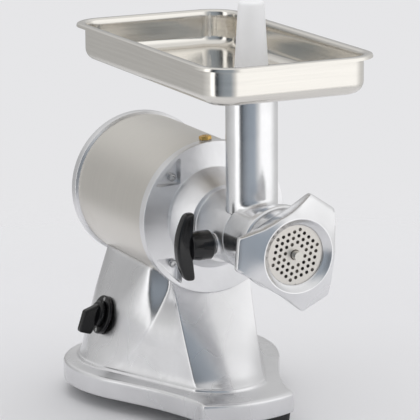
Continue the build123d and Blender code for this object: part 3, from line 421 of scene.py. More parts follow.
def through(points, steps=8):
    """Smooth line through points, as a polyline."""
    line = []
    padded = [points[0], *points, points[-1]]
    for near in zip(padded, padded[1:], padded[2:], padded[3:]):
        for t in [step / steps for step in range(steps)]:
            line.append(tuple(0.5 * (
                2 * b + (c - a) * t + (2 * a - 5 * b + 4 * c - d) * t * t + (3 * b - a - 3 * c + d) * t**3
            ) for a, b, c, d in zip(*near)))
    return line + [points[-1]]


def bent(start, pull, end, steps):
    """Line from start to end in a bend drawn towards the pull."""
    return [
        tuple(a * (1 - t) ** 2 + b * 2 * t * (1 - t) + c * t * t for a, b, c in zip(start, pull, end))
        for t in [step / steps for step in range(steps + 1)]
    ]


def rounded(corners, steps=5):
    """Line through (a, b, radius) corners, each one rounded."""
    most_of_half = 0.48
    line = []
    for number, (a, b, radius) in enumerate(corners):
        here = Vector((a, b))
        if radius == 0 or number in (0, len(corners) - 1):
            line.append((a, b))
            continue
        back = Vector(corners[number - 1][:2]) - here
        ahead = Vector(corners[number + 1][:2]) - here
        half_turn = back.angle(ahead) / 2
        run = min(radius / math.tan(half_turn), most_of_half * back.length, most_of_half * ahead.length)
        start, end = here + back.normalized() * run, here + ahead.normalized() * run
        for t in [step / steps for step in range(steps + 1)]:
            line.append(tuple(start * (1 - t) ** 2 + here * 2 * t * (1 - t) + end * t * t))
    return line


half_counts = (18, 14, 10, 12, 6, 12, 6)
nose_front, nose_bow, nose_corner = -6.0, 14.0, (58.0, 8.0)
side_line = ((60.9, 35.6), (78.5, 84.3), (101.2, 129.9), (117.0, 159.6), (127.4, 192.0), (130.0, 220.0))
waist_front, waist_rear = 84.3, 130.0
rear_middle, rear_radius, rear_end = (31.0, 220.0), 99.0, 319.0


def base_half(inset):
    """Right half of the base's plan, from the middle of the front to the middle of the rear."""
    corner_x, corner_y = nose_corner[0] - inset, nose_corner[1] + inset
    bow = (corner_x**2 + nose_bow**2) / (2 * nose_bow)
    steps = [corner_x * i / 24 for i in range(25)]
    front = [(x, nose_front + inset + bow - math.sqrt(bow**2 - x**2)) for x in steps]
    side = through([(corner_x, corner_y), *[(x - inset, y) for x, y in side_line]])
    corner = rounded([(*front[-5], 0), (corner_x, corner_y, 7.0), (*side[4], 0)], 8)
    middle = len(corner) // 2
    nose = front[:-5] + corner[: middle + 1]
    flank = corner[middle:] + side[5:]
    near = [point for point in flank if point[1] <= waist_front]
    waist = near[-1:] + [point for point in flank if waist_front < point[1] <= waist_rear]
    broad = waist[-1:] + [point for point in flank if point[1] > waist_rear]
    turns = [math.radians(angle) for angle in range(0, 91, 3)]
    arc = [(rear_middle[0] + x, rear_middle[1] + y) for x, y in around(rear_radius - inset, turns)]
    end = (0.0, rear_end - inset)
    lines = (nose, near, waist, broad, arc[:9], arc[8:], [arc[-1], end])
    return [point for line, count in zip(lines, half_counts) for point in spaced(line, count, 0.6)] + [end]


foot_level, leg_height = -192.0, 132.0
leg_foot, leg_top = (43, 57, 36), (50, 111, 114)
# Rising levels of the column, with its half width, its rear and its rear corners' radius.
column = ((-192, 109, 311, 88), (-115, 84, 309, 76), (-50, 52, 303, 44))
# Rising levels of the valley between leg and column, with the x and y of its end and of the column's start.
valley = (
    (-192, 92.7, 168.0, 95.0, 173.0), (-170, 81.5, 151.0, 84.0, 156.0), (-150, 72.9, 138.6, 75.5, 143.5),
    (-138, 68.8, 131.5, 71.5, 136.0), (-126, 64.0, 126.4, 67.5, 131.5), (-115, 57.2, 126.0, 64.8, 135.0),
    (-100, 48.7, 127.0, 63.4, 138.0), (-88, 42.0, 127.5, 61.9, 141.0), (-60, 38.0, 130.0, 56.0, 150.0),
)
corner_slope = ((-192, 2.2), (-138, 2.3), (-126, 1.9), (-115, 1.6), (-60, 1.6))
valley_calm = ((-192, 12), (-138, 8), (-122, 3), (-60, 2))


def at_level(z, table):
    """Values at a level, straight between a table's rows."""
    for (low, *first), (high, *second) in zip(table, table[1:]):
        if z <= high:
            return between(first, second, (max(z, low) - low) / (high - low))
    return tuple(table[-1][1:])


def eased(z, table):
    """Values at a level, with the table's bends softened."""
    shifts = (-12, -6, 0, 6, 12)
    return [sum(values) / len(shifts) for values in zip(*(at_level(z + shift, table) for shift in shifts))]


def pedestal_half(z):
    """Right half of the pedestal's plan at a level, from the front's middle to the rear's."""
    ridge_x, ridge_y, front = between(leg_foot, leg_top, (z - foot_level) / leg_height)
    half, rear, rear_corner = eased(z, column)
    web_x, web_y, start_x, start_y = at_level(z, valley)
    (slope,), (calming,) = at_level(z, corner_slope), at_level(z, valley_calm)
    shares = [step / 30 for step in range(31)]
    bow = [(ridge_x * share, front + (ridge_y - front) * share**2) for share in shares]
    turns = [math.radians(angle) for angle in range(0, 91, 6)]
    turn = [(half - rear_corner + x, rear - rear_corner + y) for x, y in around(rear_corner, turns)]
    pull = start_y + (half - start_x) * slope
    end = min(pull + 0.9 * (pull - start_y), turn[0][1] - 3)
    bend = bent((start_x, start_y), (half, min(pull, end - 2)), (half, end), 20)
    web = (web_x, web_y)
    lines = (bow, [bow[-1], web], [web, bend[0]], bend, [bend[-1], turn[0]], turn, [turn[-1], (0.0, rear)])
    eases = (0.5, 0.5, 0.0, 0.0, 0.0, 0.0, 0.0)
    points = [p for line, count, ease in zip(lines, half_counts, eases) for p in spaced(line, count, ease)]
    points.append((0.0, rear))
    first, last = half_counts[0] + 3, sum(half_counts[:4]) + 4
    for _ in range(round(calming)):
        calm = list(points)
        for i in range(first, last):
            calm[i] = tuple((a + 2 * b + c) / 4 for a, b, c in zip(*points[i - 1 : i + 2]))
        points = calm
    return points


def whole(half, z):
    """Full loop at a level from its right half."""
    left = [(-x, y) for x, y in half[-2:0:-1]]
    return [(x, y, z) for x, y in half + left]


def swelled(half, by):
    """Right half of a plan, moved outwards by so much."""
    mirrored_ends = [(-half[1][0], half[1][1]), *half, (-half[-2][0], half[-2][1])]
    swollen = []
    for before, (x, y), after in zip(mirrored_ends, half, mirrored_ends[2:]):
        along = Vector((after[0] - before[0], after[1] - before[1])).normalized()
        swollen.append((x + by * along.y, y - by * along.x))
    swollen[0] = (0.0, swollen[0][1])
    swollen[-1] = (0.0, swollen[-1][1])
    return swollen


wall, rim_round, rim_level = 6.0, 4.0, -196
foot_plan = pedestal_half(foot_level)
base_rows = [whole(swelled(pedestal_half(z), -wall), z) for z in (-104, -120, -150, -180, -198)]
base_rows += [whole(base_half(inset), z) for inset, z in (
    (wall, -198), (wall, -215.4), (6.6, -216), (1.2, -216), (0.35, -215.65),
    (0.0, -214.8), (0.0, -205), (0.0, rim_level),
)]
for turn in [math.radians(angle) for angle in range(18, 91, 18)]:
    rim = base_half(rim_round - rim_round * math.cos(turn))
    base_rows.append(whole(rim, rim_level + rim_round * math.sin(turn)))
rim_plan, plinth_plan = base_half(rim_round), swelled(foot_plan, 5.5)
for share in (0.35, 0.7, 1.0):
    base_rows.append(whole([between(p, q, share) for p, q in zip(rim_plan, plinth_plan)], foot_level))
base_rows += [whole(swelled(foot_plan, by), z) for by, z in (
    (4.0, -191.6), (3.2, -190.6), (3.0, -189.4), (2.6, -188.4), (1.6, -188), (0.6, -187.4), (0.0, -186),
)]
base_rows += [whole(pedestal_half(z), z) for z in (-182, -176, *range(-169, -119, 7), *range(-114, -59, 6))]
base = skin("base", base_rows, edge_angle=60)
finer = base.modifiers.new("finer", "SUBSURF")
finer.levels = finer.render_levels = 1
plain_mesh(base, 45)


def combine(piece, other, operation, edge_angle=38):
    """Cuts one closed piece by another, or adds it, and drops the other."""
    step = piece.modifiers.new("combine", "BOOLEAN")
    step.operation, step.object, step.solver = operation, other, "EXACT"
    plain_mesh(piece, edge_angle)
    bpy.data.objects.remove(other)


def evenly(count):
    """So many angles round a full turn."""
    return [2 * math.pi * step / count for step in range(count)]


def turned(name, outline, place, steps=96, ring=False, edge_angle=38):
    """Body turned about the upright axis of its place from (radius, height) points."""
    rows = [
        [place @ Vector((x, y, along)) for x, y in around(radius, evenly(steps))]
        for radius, along in outline
    ]
    return skin(name, rows, ring, edge_angle)


# A turned body closes with a cap of this radius where it meets its axis.
pole = 0.01
along_head = Matrix.Rotation(-math.pi / 2, 4, "X")
drum_space = turned("drum_space", [
    (pole, 60), (88.7, 60), (88.7, 110), (85.6, 110.1), (85.6, 289.9), (88.7, 290), (88.7, 340), (pole, 340),
], along_head, 128)
combine(base, drum_space, "DIFFERENCE", 45)
base.data.materials.append(buffed_casting("buffed_base", (0.745, 0.745, 0.755), 0.28, 11.0, 0.03, 0.3))
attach(base, "chassis")
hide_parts("base_casting")


# Sheet cover and screws under the base. Zinc plated steel, stamped and rolled, with the dull crystals of
# the plating; the bolts that draw the drum down on its saddle are of the same kind.
zinc_skin, given = finish_group("zinc_skin", [("Colour", COLOUR), ("Roughness", FLOAT)])
crystals = node(zinc_skin, "ShaderNodeTexVoronoi", {"Vector": given["Place"], "Scale": 380.0}).outputs
crystal_tone = node(zinc_skin, "ShaderNodeSeparateColor", {0: crystals["Color"]}).outputs[0]
node(zinc_skin, "NodeGroupOutput", {
    "Colour": scaled(zinc_skin, given["Colour"], ramp(zinc_skin, crystal_tone, 0.0, 1.0, 0.86, 1.06)),
    "Roughness": maths(zinc_skin, "MULTIPLY_ADD", crystal_tone, 0.12, given["Roughness"]),
    "Height": noise(zinc_skin, given["Place"], 700.0, 3.0),
})


def plated(name, colour, roughness):
    """Material of a zinc plated steel piece."""
    return finished(name, zinc_skin, {"Colour": (*colour, 1), "Roughness": roughness}, 0.08, depth=0.0003)


def dress(material, *names):
    """Gives pieces of the frame their finish."""
    for name in names:
        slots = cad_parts[name].data.materials
        slots.clear()
        slots.append(material)


zinc_screws = plated("zinc_screws", (0.6, 0.6, 0.6), 0.26)
dress(plated("zinc_sheet", (0.52, 0.53, 0.54), 0.38), "base_cover")
dress(zinc_screws, "foot_screws", "seat_bolts")


# Motor inside the drum. Varnished lamination stacks, copper end turns, a turned shaft in sealed bearings
# and a moulded fan, all hidden once the drum is closed.
tool_lines, given = finish_group("tool_lines", [
    ("Stretch", VECTOR), ("Colour", COLOUR), ("Roughness", FLOAT), ("Lines", FLOAT),
])
streaks = noise(tool_lines, given["Place"], 1.0, 4.0, given["Stretch"])
handled = ramp(tool_lines, noise(tool_lines, given["Place"], 18.0, 4.0), 0.52, 0.8, 0.0, 0.07)
lined = ramp(tool_lines, streaks, 0.3, 0.7, -1.0, 1.0)
lined = maths(tool_lines, "MULTIPLY_ADD", lined, given["Lines"], given["Roughness"])
node(tool_lines, "NodeGroupOutput", {
    "Colour": scaled(tool_lines, given["Colour"], ramp(tool_lines, streaks, 0.25, 0.75, 0.96, 1.025)),
    "Roughness": maths(tool_lines, "ADD", lined, handled),
    "Height": streaks,
})


def turned_steel(name, colour, roughness, lines, stretch, relief=0.12):
    """Material of machined or rolled metal with fine lines along its tool's path."""
    values = {"Stretch": stretch, "Colour": (*colour, 1), "Roughness": roughness, "Lines": lines}
    return finished(name, tool_lines, values, relief, depth=0.0002)


shaft_steel = turned_steel("turned_shaft", (0.52, 0.52, 0.54), 0.26, 0.06, (60.0, 1500.0, 60.0))
stamped_iron = turned_steel("stamped_laminations", (0.2, 0.2, 0.21), 0.5, 0.1, (20.0, 2400.0, 20.0))
copper_wire = turned_steel("varnished_copper", (0.62, 0.26, 0.11), 0.36, 0.1, (900.0, 120.0, 900.0))
jet, jet_bloom = (0.003, 0.003, 0.0035), (0.02, 0.02, 0.022)
black_moulding = moulded("black_moulding", jet, jet_bloom, 0.12, 0.16, 1600.0, 0.04, 0.3)
dress(stamped_iron, "stator_core", "rotor_core")
dress(copper_wire, "winding_front", "winding_rear")
dress(shaft_steel, "rotor_shaft", "rotor_bearing_front", "rotor_bearing_rear")
dress(black_moulding, "fan")


# Gears and their bearings. Two stages of hobbed steel wheels and pinions between the front cover and a
# cast bulkhead with pillars, run in grease behind a lip seal.
gear_steel = turned_steel("hobbed_gears", (0.46, 0.46, 0.48), 0.34, 0.08, (400.0, 90.0, 400.0))
dress(gear_steel, "rotor_pinion", "lay_wheel", "lay_pinion", "output_wheel")
dress(
    shaft_steel, "layshaft", "output_shaft",
    "lay_bearing_front", "lay_bearing_rear", "output_bearing_front", "output_bearing_rear",
)
dress(buffed_casting("sand_cast_bulkhead", (0.6, 0.6, 0.61), 0.5, 40.0, 0.08, 0.3), "gear_plate")
dress(rubber, "oil_seal")


# Motor drum. A tube rolled from stainless sheet, satin brushed round its girth, clamped between the two
# cast end covers by the tie rods.
drum = turned("drum", [
    (82.5, 110.0), (85.0, 110.0), (85.5, 110.5), (85.5, 150.0), (85.5, 250.0), (85.5, 289.5), (85.0, 290.0),
    (82.5, 290.0),
], along_head, 160, ring=True)
drum.data.materials.append(turned_steel("satin_drum", (0.70, 0.675, 0.63), 0.33, 0.04, (14.0, 1100.0, 14.0)))
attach(drum, "chassis")
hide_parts("motor_shell")


# Rear cover. An aluminium casting turned on its rim, with ten vents milled through its disc and a boss for
# the rear bearing; four tie rods with round heads draw it against the drum.
def moved(tree, geometry, place, turn=(0, 0, 0)):
    """Geometry turned, then moved to its place."""
    sockets = {"Geometry": geometry, "Translation": place, "Rotation": turn}
    return node(tree, "GeometryNodeTransform", sockets).outputs[0]


def cut(tree, solid, cutters):
    """Solid geometry without what the cutters take."""
    sockets = {"Mesh 1": solid, "Mesh 2": cutters}
    return node(tree, "GeometryNodeMeshBoolean", sockets, operation="DIFFERENCE", solver="EXACT").outputs[0]


buffed_cover = buffed_casting("buffed_covers", (0.82, 0.82, 0.83), 0.36, 13.0, 0.05, 0.45)
rear_cover = turned("rear_cover_casting", rounded([
    (20.0, 285.2, 0), (26.0, 285.2, 1.0), (26.0, 297.2, 2.0), (78.5, 297.2, 0), (78.5, 284.0, 0),
    (82.5, 284.0, 0), (82.5, 290.0, 0), (85.6, 290.0, 0.1), (86.0, 290.2, 0.8), (88.6, 292.6, 1.6),
    (88.6, 305.2, 3.5), (70.0, 305.2, 1.0), (68.0, 304.2, 1.0), (36.0, 304.2, 1.0), (34.0, 305.2, 1.0),
    (1.0, 305.2, 0), (1.0, 297.2, 0), (20.0, 297.2, 0),
]), along_head, 128, ring=True)
vent_tree, given = growth("vents_round_the_axis", "Cover", [
    ("Vents", INTEGER), ("Circle", FLOAT), ("Length", FLOAT), ("Width", FLOAT), ("Level", FLOAT),
    ("Axis height", FLOAT),
])
vent_line = xyz(vent_tree, X=given["Length"])
vent_path = node(vent_tree, "GeometryNodeCurvePrimitiveLine", {"End": vent_line}).outputs[0]
vent_ends = moved(vent_tree, vent_path, scaled(vent_tree, vent_line, -0.5))
half_width = maths(vent_tree, "MULTIPLY", given["Width"], 0.5)
bar = node(vent_tree, "GeometryNodeMeshCylinder", {"Vertices": 16, "Radius": half_width, "Depth": 0.04})
end_bars = copies(vent_tree, vent_ends, bar.outputs["Mesh"])
vent_cutter = node(vent_tree, "GeometryNodeConvexHull", {0: end_bars}).outputs[0]
vent_spots = node(vent_tree, "GeometryNodeMeshCircle", {
    "Vertices": given["Vents"], "Radius": given["Circle"],
}).outputs[0]
spot = node(vent_tree, "GeometryNodeInputPosition").outputs[0]
facing = node(vent_tree, "FunctionNodeAlignRotationToVector", {"Vector": spot}, axis="X", pivot_axis="Z")
vents = copies(vent_tree, vent_spots, vent_cutter, facing.outputs[0])
vent_place = xyz(vent_tree, Y=given["Level"], Z=given["Axis height"])
vents = moved(vent_tree, vents, vent_place, (math.pi / 2, math.radians(18), 0))
grow(rear_cover, vent_tree, cut(vent_tree, given["Cover"], vents), given["Finish"], {
    "Vents": 10, "Circle": 0.052, "Length": 0.024, "Width": 0.006, "Level": 0.1986,
    "Axis height": axis_height / 1000, "Finish": buffed_cover,
})
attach(rear_cover, "chassis")
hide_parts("rear_cover")
dress(zinc_screws, "tie_rods")


# Front cover. An aluminium casting with a turned ring, a stepped cone and the long collar that takes the
# head; its upper side is notched for the feed tube, and its four screws sit in three-cornered pockets.
front_cover = turned("front_cover_casting", rounded([
    (33.7, -7.0, 0), (34.6, -8.0, 0), (40.0, -8.0, 1.4), (40.0, 61.0, 4.0), (45.0, 61.0, 0.7),
    (57.4, 90.6, 1.2), (58.6, 95.0, 1.6), (88.6, 94.8, 0.9), (88.6, 107.4, 1.6), (86.0, 109.8, 0.8),
    (85.6, 110.0, 0.1), (82.5, 110.0, 0), (82.5, 116.0, 0), (78.5, 116.0, 0), (78.5, 107.8, 0),
    (26.0, 107.8, 0), (26.0, 62.0, 0), (20.0, 62.0, 0), (20.0, 46.0, 0), (33.7, 46.0, 0),
]), along_head, 144, ring=True)


def arch(radius, foot, steps):
    """Half a circle on straight sides that run down to its foot."""
    return around(radius, [math.pi * i / steps for i in range(steps + 1)]) + [(-radius, foot), (radius, foot)]


def rounded_ring(corners, steps):
    """Closed line through (a, b, radius) corners, each one rounded."""
    return rounded(corners[-1:] + corners + corners[:1], steps)[1:-1]


lock_seat = Matrix.Translation((0.0, 14.0, -9.0)) @ Matrix.Rotation(-math.pi / 2, 4, "Y")
lock_pad = rounded([(pole, 35.5, 0), (12.4, 35.5, 0), (12.0, 41.5, 1.0), (pole, 41.5, 0)])
combine(front_cover, turned("lock_pad", lock_pad, lock_seat, 48), "UNION")
tube_notch = skin("tube_notch", [[(x, y, z) for x, y in arch(29.1, -12.0, 32)] for z in (0.0, 60.0)])
combine(front_cover, tube_notch, "DIFFERENCE")
stud_hole = turned("stud_hole", [(pole, 20), (5.3, 20), (5.3, 50), (pole, 50)], lock_seat, 32)
combine(front_cover, stud_hole, "DIFFERENCE")
pocket_tip, pocket_corner = 60.0, 3.0
pocket_levels = (
    (86.6, 16.4, 92.0), (86.4, 16.2, 95.4), (85.8, 15.6, 96.2), (85.0, 14.4, 103.2), (84.0, 13.6, 103.8),
)
for quarter in range(4):
    pocket_rows = []
    for reach, half_angle, y in pocket_levels:
        corners = []
        for radius, off in ((pocket_tip, 0.0), (reach, -half_angle), (reach, half_angle)):
            angle = math.radians(45 + 90 * quarter + off)
            corners.append((radius * math.cos(angle), radius * math.sin(angle), pocket_corner))
        pocket_rows.append([(x, y, z) for x, z in rounded_ring(corners, 6)])
    combine(front_cover, skin("pocket", pocket_rows), "DIFFERENCE")
front_cover.data.materials.append(buffed_cover)
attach(front_cover, "chassis")
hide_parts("front_cover")


# Front cover screws. Four round-headed socket screws in the pockets, turned and zinc plated, each left at
# its own angle when it was tightened.
screws = turned("cover_screws", rounded([
    (pole, 99.4, 0), (2.0, 99.4, 0), (2.3, 98.0, 0.2), (3.4, 98.2, 0.6), (4.6, 99.6, 0.9), (4.6, 103.8, 0),
    (2.5, 103.8, 0), (2.5, 121.0, 0.8), (pole, 121.0, 0),
]), Matrix.Translation((0, 0, -axis_height)) @ along_head, 36)
screw_tree, given = growth("screws_round_the_axis", "Screw", [
    ("Screws", INTEGER), ("Circle", FLOAT), ("First angle", FLOAT), ("Axis height", FLOAT),
])
screw_spots = node(screw_tree, "GeometryNodeMeshCircle", {
    "Vertices": given["Screws"], "Radius": given["Circle"],
}).outputs[0]
about_axis = xyz(screw_tree, X=math.pi / 2, Y=given["First angle"])
screw_ring = moved(screw_tree, screw_spots, xyz(screw_tree, Z=given["Axis height"]), about_axis)
left_at = node(screw_tree, "FunctionNodeRandomValue", {
    "Min": (0, 0, 0), "Max": (0, 6.28, 0), "Seed": 3,
}, data_type="FLOAT_VECTOR").outputs[0]
grow(screws, screw_tree, copies(screw_tree, screw_ring, given["Screw"], left_at), given["Finish"], {
    "Screws": 4, "Circle": 0.071, "First angle": math.radians(-45),
    "Axis height": axis_height / 1000, "Finish": zinc_screws,
})
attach(screws, "chassis")
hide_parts("front_screw_1", "front_screw_2", "front_screw_3", "front_screw_4")


# Oil plug. A hexagon plug turned from brass bar and chamfered on top, screwed into the front cover's ring
# on a fibre washer.
def hexagon(across, bulge, angles):
    """Hexagon of a width across its flats; a bulge of 1 makes it round."""
    loop = []
    for angle in angles:
        flat = math.cos((angle + math.pi / 6) % (math.pi / 3) - math.pi / 6)
        loop += around(across / 2 / (flat + bulge * (1 - flat)), [angle])
    return loop


plug_lean, plug_y = Matrix.Rotation(math.radians(-4.3), 4, "Y"), 103.8
plug_levels = (
    (7.8, 1.0, 80.6), (8.0, 1.0, 81.2), (8.0, 1.0, 89.5), (11.4, 0.15, 89.6), (12.5, 0.0, 90.1),
    (12.5, 0.0, 93.0), (12.0, 0.35, 93.8), (10.8, 1.0, 94.1), (6.0, 1.0, 94.1), (5.0, 1.0, 93.7),
    (0.2, 1.0, 93.7),
)
plug = skin("brass_plug", [
    [plug_lean @ Vector((x, plug_y + y, z)) for x, y in hexagon(across, bulge, evenly(48))]
    for across, bulge, z in plug_levels
], edge_angle=24)
plug.data.materials.append(turned_steel("turned_brass", (0.66, 0.42, 0.13), 0.24, 0.06, (500.0, 500.0, 60.0)))
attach(plug, "chassis")
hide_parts("oil_plug")
dress(moulded("washer_fibre", (0.46, 0.43, 0.38), (0.3, 0.28, 0.24), 0.3, 0.6, 900.0, 0.1), "oil_washer")


# Switch. A round black plate screwed to the left flank, and a turning knob moulded as a disc with a tapered
# bar for the fingers; its works are a block behind the casting.
flank_run, flank_rise = column[0][1] - column[1][1], column[1][0] - column[0][0]
switch_seat = (
    Matrix.Translation((-89.844, 210.0, -133.0))
    @ Matrix.Rotation(math.atan2(flank_run, flank_rise), 4, "Y")
    @ Matrix.Rotation(-math.pi / 2, 4, "Y")
)
switch_plate = turned("switch_cover_plate", rounded([
    (4.6, 1.0, 0), (23.0, 1.0, 0), (23.0, 4.4, 0.8), (21.8, 5.0, 0.5), (17.0, 5.0, 0.3), (16.6, 4.5, 0.3),
    (4.6, 4.5, 0),
]), switch_seat, 72, ring=True)
switch_plate.data.materials.append(black_moulding)
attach(switch_plate, "chassis")
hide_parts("switch_plate")
dress(zinc_screws, "switch_screws")
dress(black_moulding, "switch_body")

switch_knob = turned("switch_turning_knob", rounded([
    (pole, -14.0, 0), (4.0, -14.0, 0), (4.0, 5.3, 0), (14.6, 5.3, 0), (15.5, 6.0, 0.4), (15.5, 9.6, 1.4),
    (13.8, 11.3, 1.4), (pole, 11.6, 0),
]), switch_seat, 72)
# Distance out from the flank, with the bar's width, its upper and lower end, and its corners' radius.
bar_levels = (
    (8.0, 12.4, 10.6, -12.0, 4.0), (11.4, 12.6, 11.2, -13.4, 4.0), (11.5, 12.8, 11.3, -23.8, 4.0),
    (12.4, 13.0, 10.9, -25.0, 3.8), (16.0, 12.1, 8.1, -25.2, 3.4), (20.6, 11.2, 4.7, -25.2, 3.0),
    (24.7, 10.4, 1.7, -25.1, 2.4), (25.7, 9.8, 0.8, -24.6, 2.2), (26.2, 8.4, -0.4, -23.6, 1.8),
)
bar_rows = []
for out, width, high, low, corner in bar_levels:
    loop = square_loop(high - low, width, corner, 6)
    bar_rows.append([switch_seat @ Vector(((high + low) / 2 + x, y, out)) for x, y in loop])
combine(switch_knob, skin("finger_bar", bar_rows), "UNION", 32)
switch_knob.data.materials.append(black_moulding)
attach(switch_knob, "switch")
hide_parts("switch_knob")


# Wiring. A moulded gland in the pedestal's rear wall, and inside the base a capacitor in its can and a
# block of terminals.
gland_drop = 160.0
gland = turned("cable_gland", rounded([
    (4.0, 292.0, 0), (9.0, 292.0, 0.8), (9.0, 312.0, 0), (12.0, 312.0, 0.5), (12.0, 314.2, 0.8),
    (9.8, 314.6, 0.8), (8.6, 316.0, 0.8), (4.8, 316.0, 0.5), (4.0, 315.2, 0.3),
]), Matrix.Translation((0, 0, -gland_drop)) @ along_head, 48, ring=True)
gland.data.materials.append(black_moulding)
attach(gland, "chassis")
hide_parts("cord_gland")
dress(black_moulding, "terminal_block")
dress(moulded("capacitor_can", (0.72, 0.72, 0.7), (0.5, 0.48, 0.44), 0.3, 0.45, 800.0, 0.08), "capacitor")


# Grinding head. One aluminium casting, buffed outside: a barrel with a raised collar behind its thread, the
# feed tube growing out of it with a soft fillet, and a rear spigot that slides into the front cover's collar.
def share_of(value, start, end):
    """Share of the way from start to end that a value has come, from 0 to 1."""
    return max(0.0, min(1.0, (value - start) / (end - start)))


def soft(share):
    """A share, eased at both ends."""
    return share * share * (3 - 2 * share)


barrel_radius, tube_radius, tube_foot = 40.0, 28.8, 6.0
fillet_size, fillet_sink, fillet_rows = 7.0, 0.5, 8
fillet_start, fillet_full = -8.0, -20.0
head = turned("head", rounded([
    (pole, 44.0, 0), (32.8, 44.0, 0), (33.4, 43.4, 0), (33.4, -7.6, 0), (38.8, -7.6, 0), (40.0, -8.8, 0.8),
    (40.0, -57.0, 2.5), (44.0, -58.0, 1.0), (47.0, -60.0, 2.0), (47.0, -69.0, 1.6), (45.0, -70.6, 1.0),
    (39.5, -71.0, 0.6), (39.5, -99.0, 0.6), (pole, -99.0, 0),
]), along_head, 128)
tube_columns = []
for angle in evenly(96):
    spread = share_of(tube_radius * math.sin(angle), fillet_start, fillet_full)
    flare = fillet_size * soft(spread)
    outer = tube_radius + flare
    saddle = math.sqrt(barrel_radius**2 - (tube_radius * math.cos(angle)) ** 2)
    top = saddle + flare + fillet_sink
    low = math.sqrt(barrel_radius**2 - (outer * math.cos(angle)) ** 2) - fillet_sink
    low = low * spread + tube_foot * (1 - spread)
    pull = saddle * spread + (top + low) / 2 * (1 - spread)
    tube_line = [(27.6, 167.0), (28.5, 166.7)]
    tube_line += [(tube_radius, level) for level in (165.8, 110.0, 60.0, saddle + 10.0)]
    tube_line += bent((tube_radius, top), (tube_radius, pull), (outer, low), fillet_rows)[1:]
    tube_columns.append([(r * math.cos(angle), r * math.sin(angle), level) for r, level in tube_line])
combine(head, skin("feed_tube", zip(*tube_columns)), "UNION")
head_bore = turned("head_bore", [
    (pole, -105.0), (35.3, -105.0), (35.3, -95.3), (27.0, -95.3), (27.0, 38.0), (13.5, 38.0), (13.5, 50.0),
    (pole, 50.0),
], along_head, 96)
combine(head, head_bore, "DIFFERENCE")
upright = Matrix.Identity(4)
feed_bore = [(pole, 4.0), (25.5, 4.0), (25.5, 165.4), (26.6, 170.0), (pole, 170.0)]
combine(head, turned("feed_bore", feed_bore, upright, 80), "DIFFERENCE", 34)
head.data.materials.append(buffed_casting("buffed_head", (0.82, 0.82, 0.83), 0.21, 14.0, 0.03, 0.2))
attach(head, "head")
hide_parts("head_casting")


# Feed screw and knife. A tumbled aluminium auger with a square tail, a ground four-armed knife on its nose,
# a steel pin that runs in the plate, and a nylon washer behind.
ground_steel = turned_steel("ground_steel", (0.66, 0.635, 0.60), 0.4, 0.05, (500.0, 500.0, 500.0))
bright_pin = turned_steel("bright_pin", (0.6, 0.585, 0.55), 0.22, 0.05, (300.0, 300.0, 300.0))
white_nylon = moulded("white_nylon", (0.94, 0.943, 0.955), (0.86, 0.86, 0.85), 0.3, 0.34, 500.0, 0.06)
dress(buffed_casting("tumbled_auger", (0.62, 0.62, 0.63), 0.4, 60.0, 0.08, 0.15), "auger")
dress(bright_pin, "auger_pin", "plate_key")
dress(ground_steel, "knife")
dress(white_nylon, "thrust_washer")


# Hole plate. A ground disc of tool steel, bored with three hexagonal rings of holes and notched at its foot
# for the key in the barrel.
key_middle, key_radius, key_mouth = -34.0, 1.8, -37.0
plate = turned("ground_plate", [
    (5.3, -95.3), (34.6, -95.3), (35.0, -95.7), (35.0, -102.9), (34.6, -103.3), (5.9, -103.3), (5.3, -102.7),
], along_head, 96, ring=True)
key_way = skin("key_way", [
    [(x, y, key_middle + z) for x, z in arch(key_radius, key_mouth - key_middle, 12)] for y in (-106.0, -92.0)
])
combine(plate, key_way, "DIFFERENCE")
holes_tree, given = growth("holes_in_rings", "Plate", [
    ("Pitch", FLOAT), ("Hole radius", FLOAT), ("Turn", FLOAT), ("Level", FLOAT), ("Axis height", FLOAT),
])
hole_spots = node(holes_tree, "GeometryNodeJoinGeometry")
for ring in (2, 3, 4):
    reach = maths(holes_tree, "MULTIPLY", given["Pitch"], float(ring))
    sides = node(holes_tree, "GeometryNodeCurvePrimitiveCircle", {"Resolution": 6, "Radius": reach})
    spots = node(holes_tree, "GeometryNodeResampleCurve", {"Curve": sides.outputs[0], "Count": 6 * ring})
    holes_tree.links.new(spots.outputs[0], hole_spots.inputs[0])
drill = node(holes_tree, "GeometryNodeMeshCylinder", {
    "Vertices": 20, "Radius": given["Hole radius"], "Depth": 0.03,
}).outputs["Mesh"]
drill_place = xyz(holes_tree, Y=given["Level"], Z=given["Axis height"])
drill_turn = xyz(holes_tree, X=math.pi / 2, Y=given["Turn"])
drills = moved(holes_tree, copies(holes_tree, hole_spots.outputs[0], drill), drill_place, drill_turn)
grow(plate, holes_tree, cut(holes_tree, given["Plate"], drills), given["Finish"], {
    "Pitch": 0.007, "Hole radius": 0.002, "Turn": math.radians(-77.6), "Level": -0.2019,
    "Axis height": axis_height / 1000, "Finish": ground_steel,
}, 30)
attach(plate, "plate")
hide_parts("hole_plate")


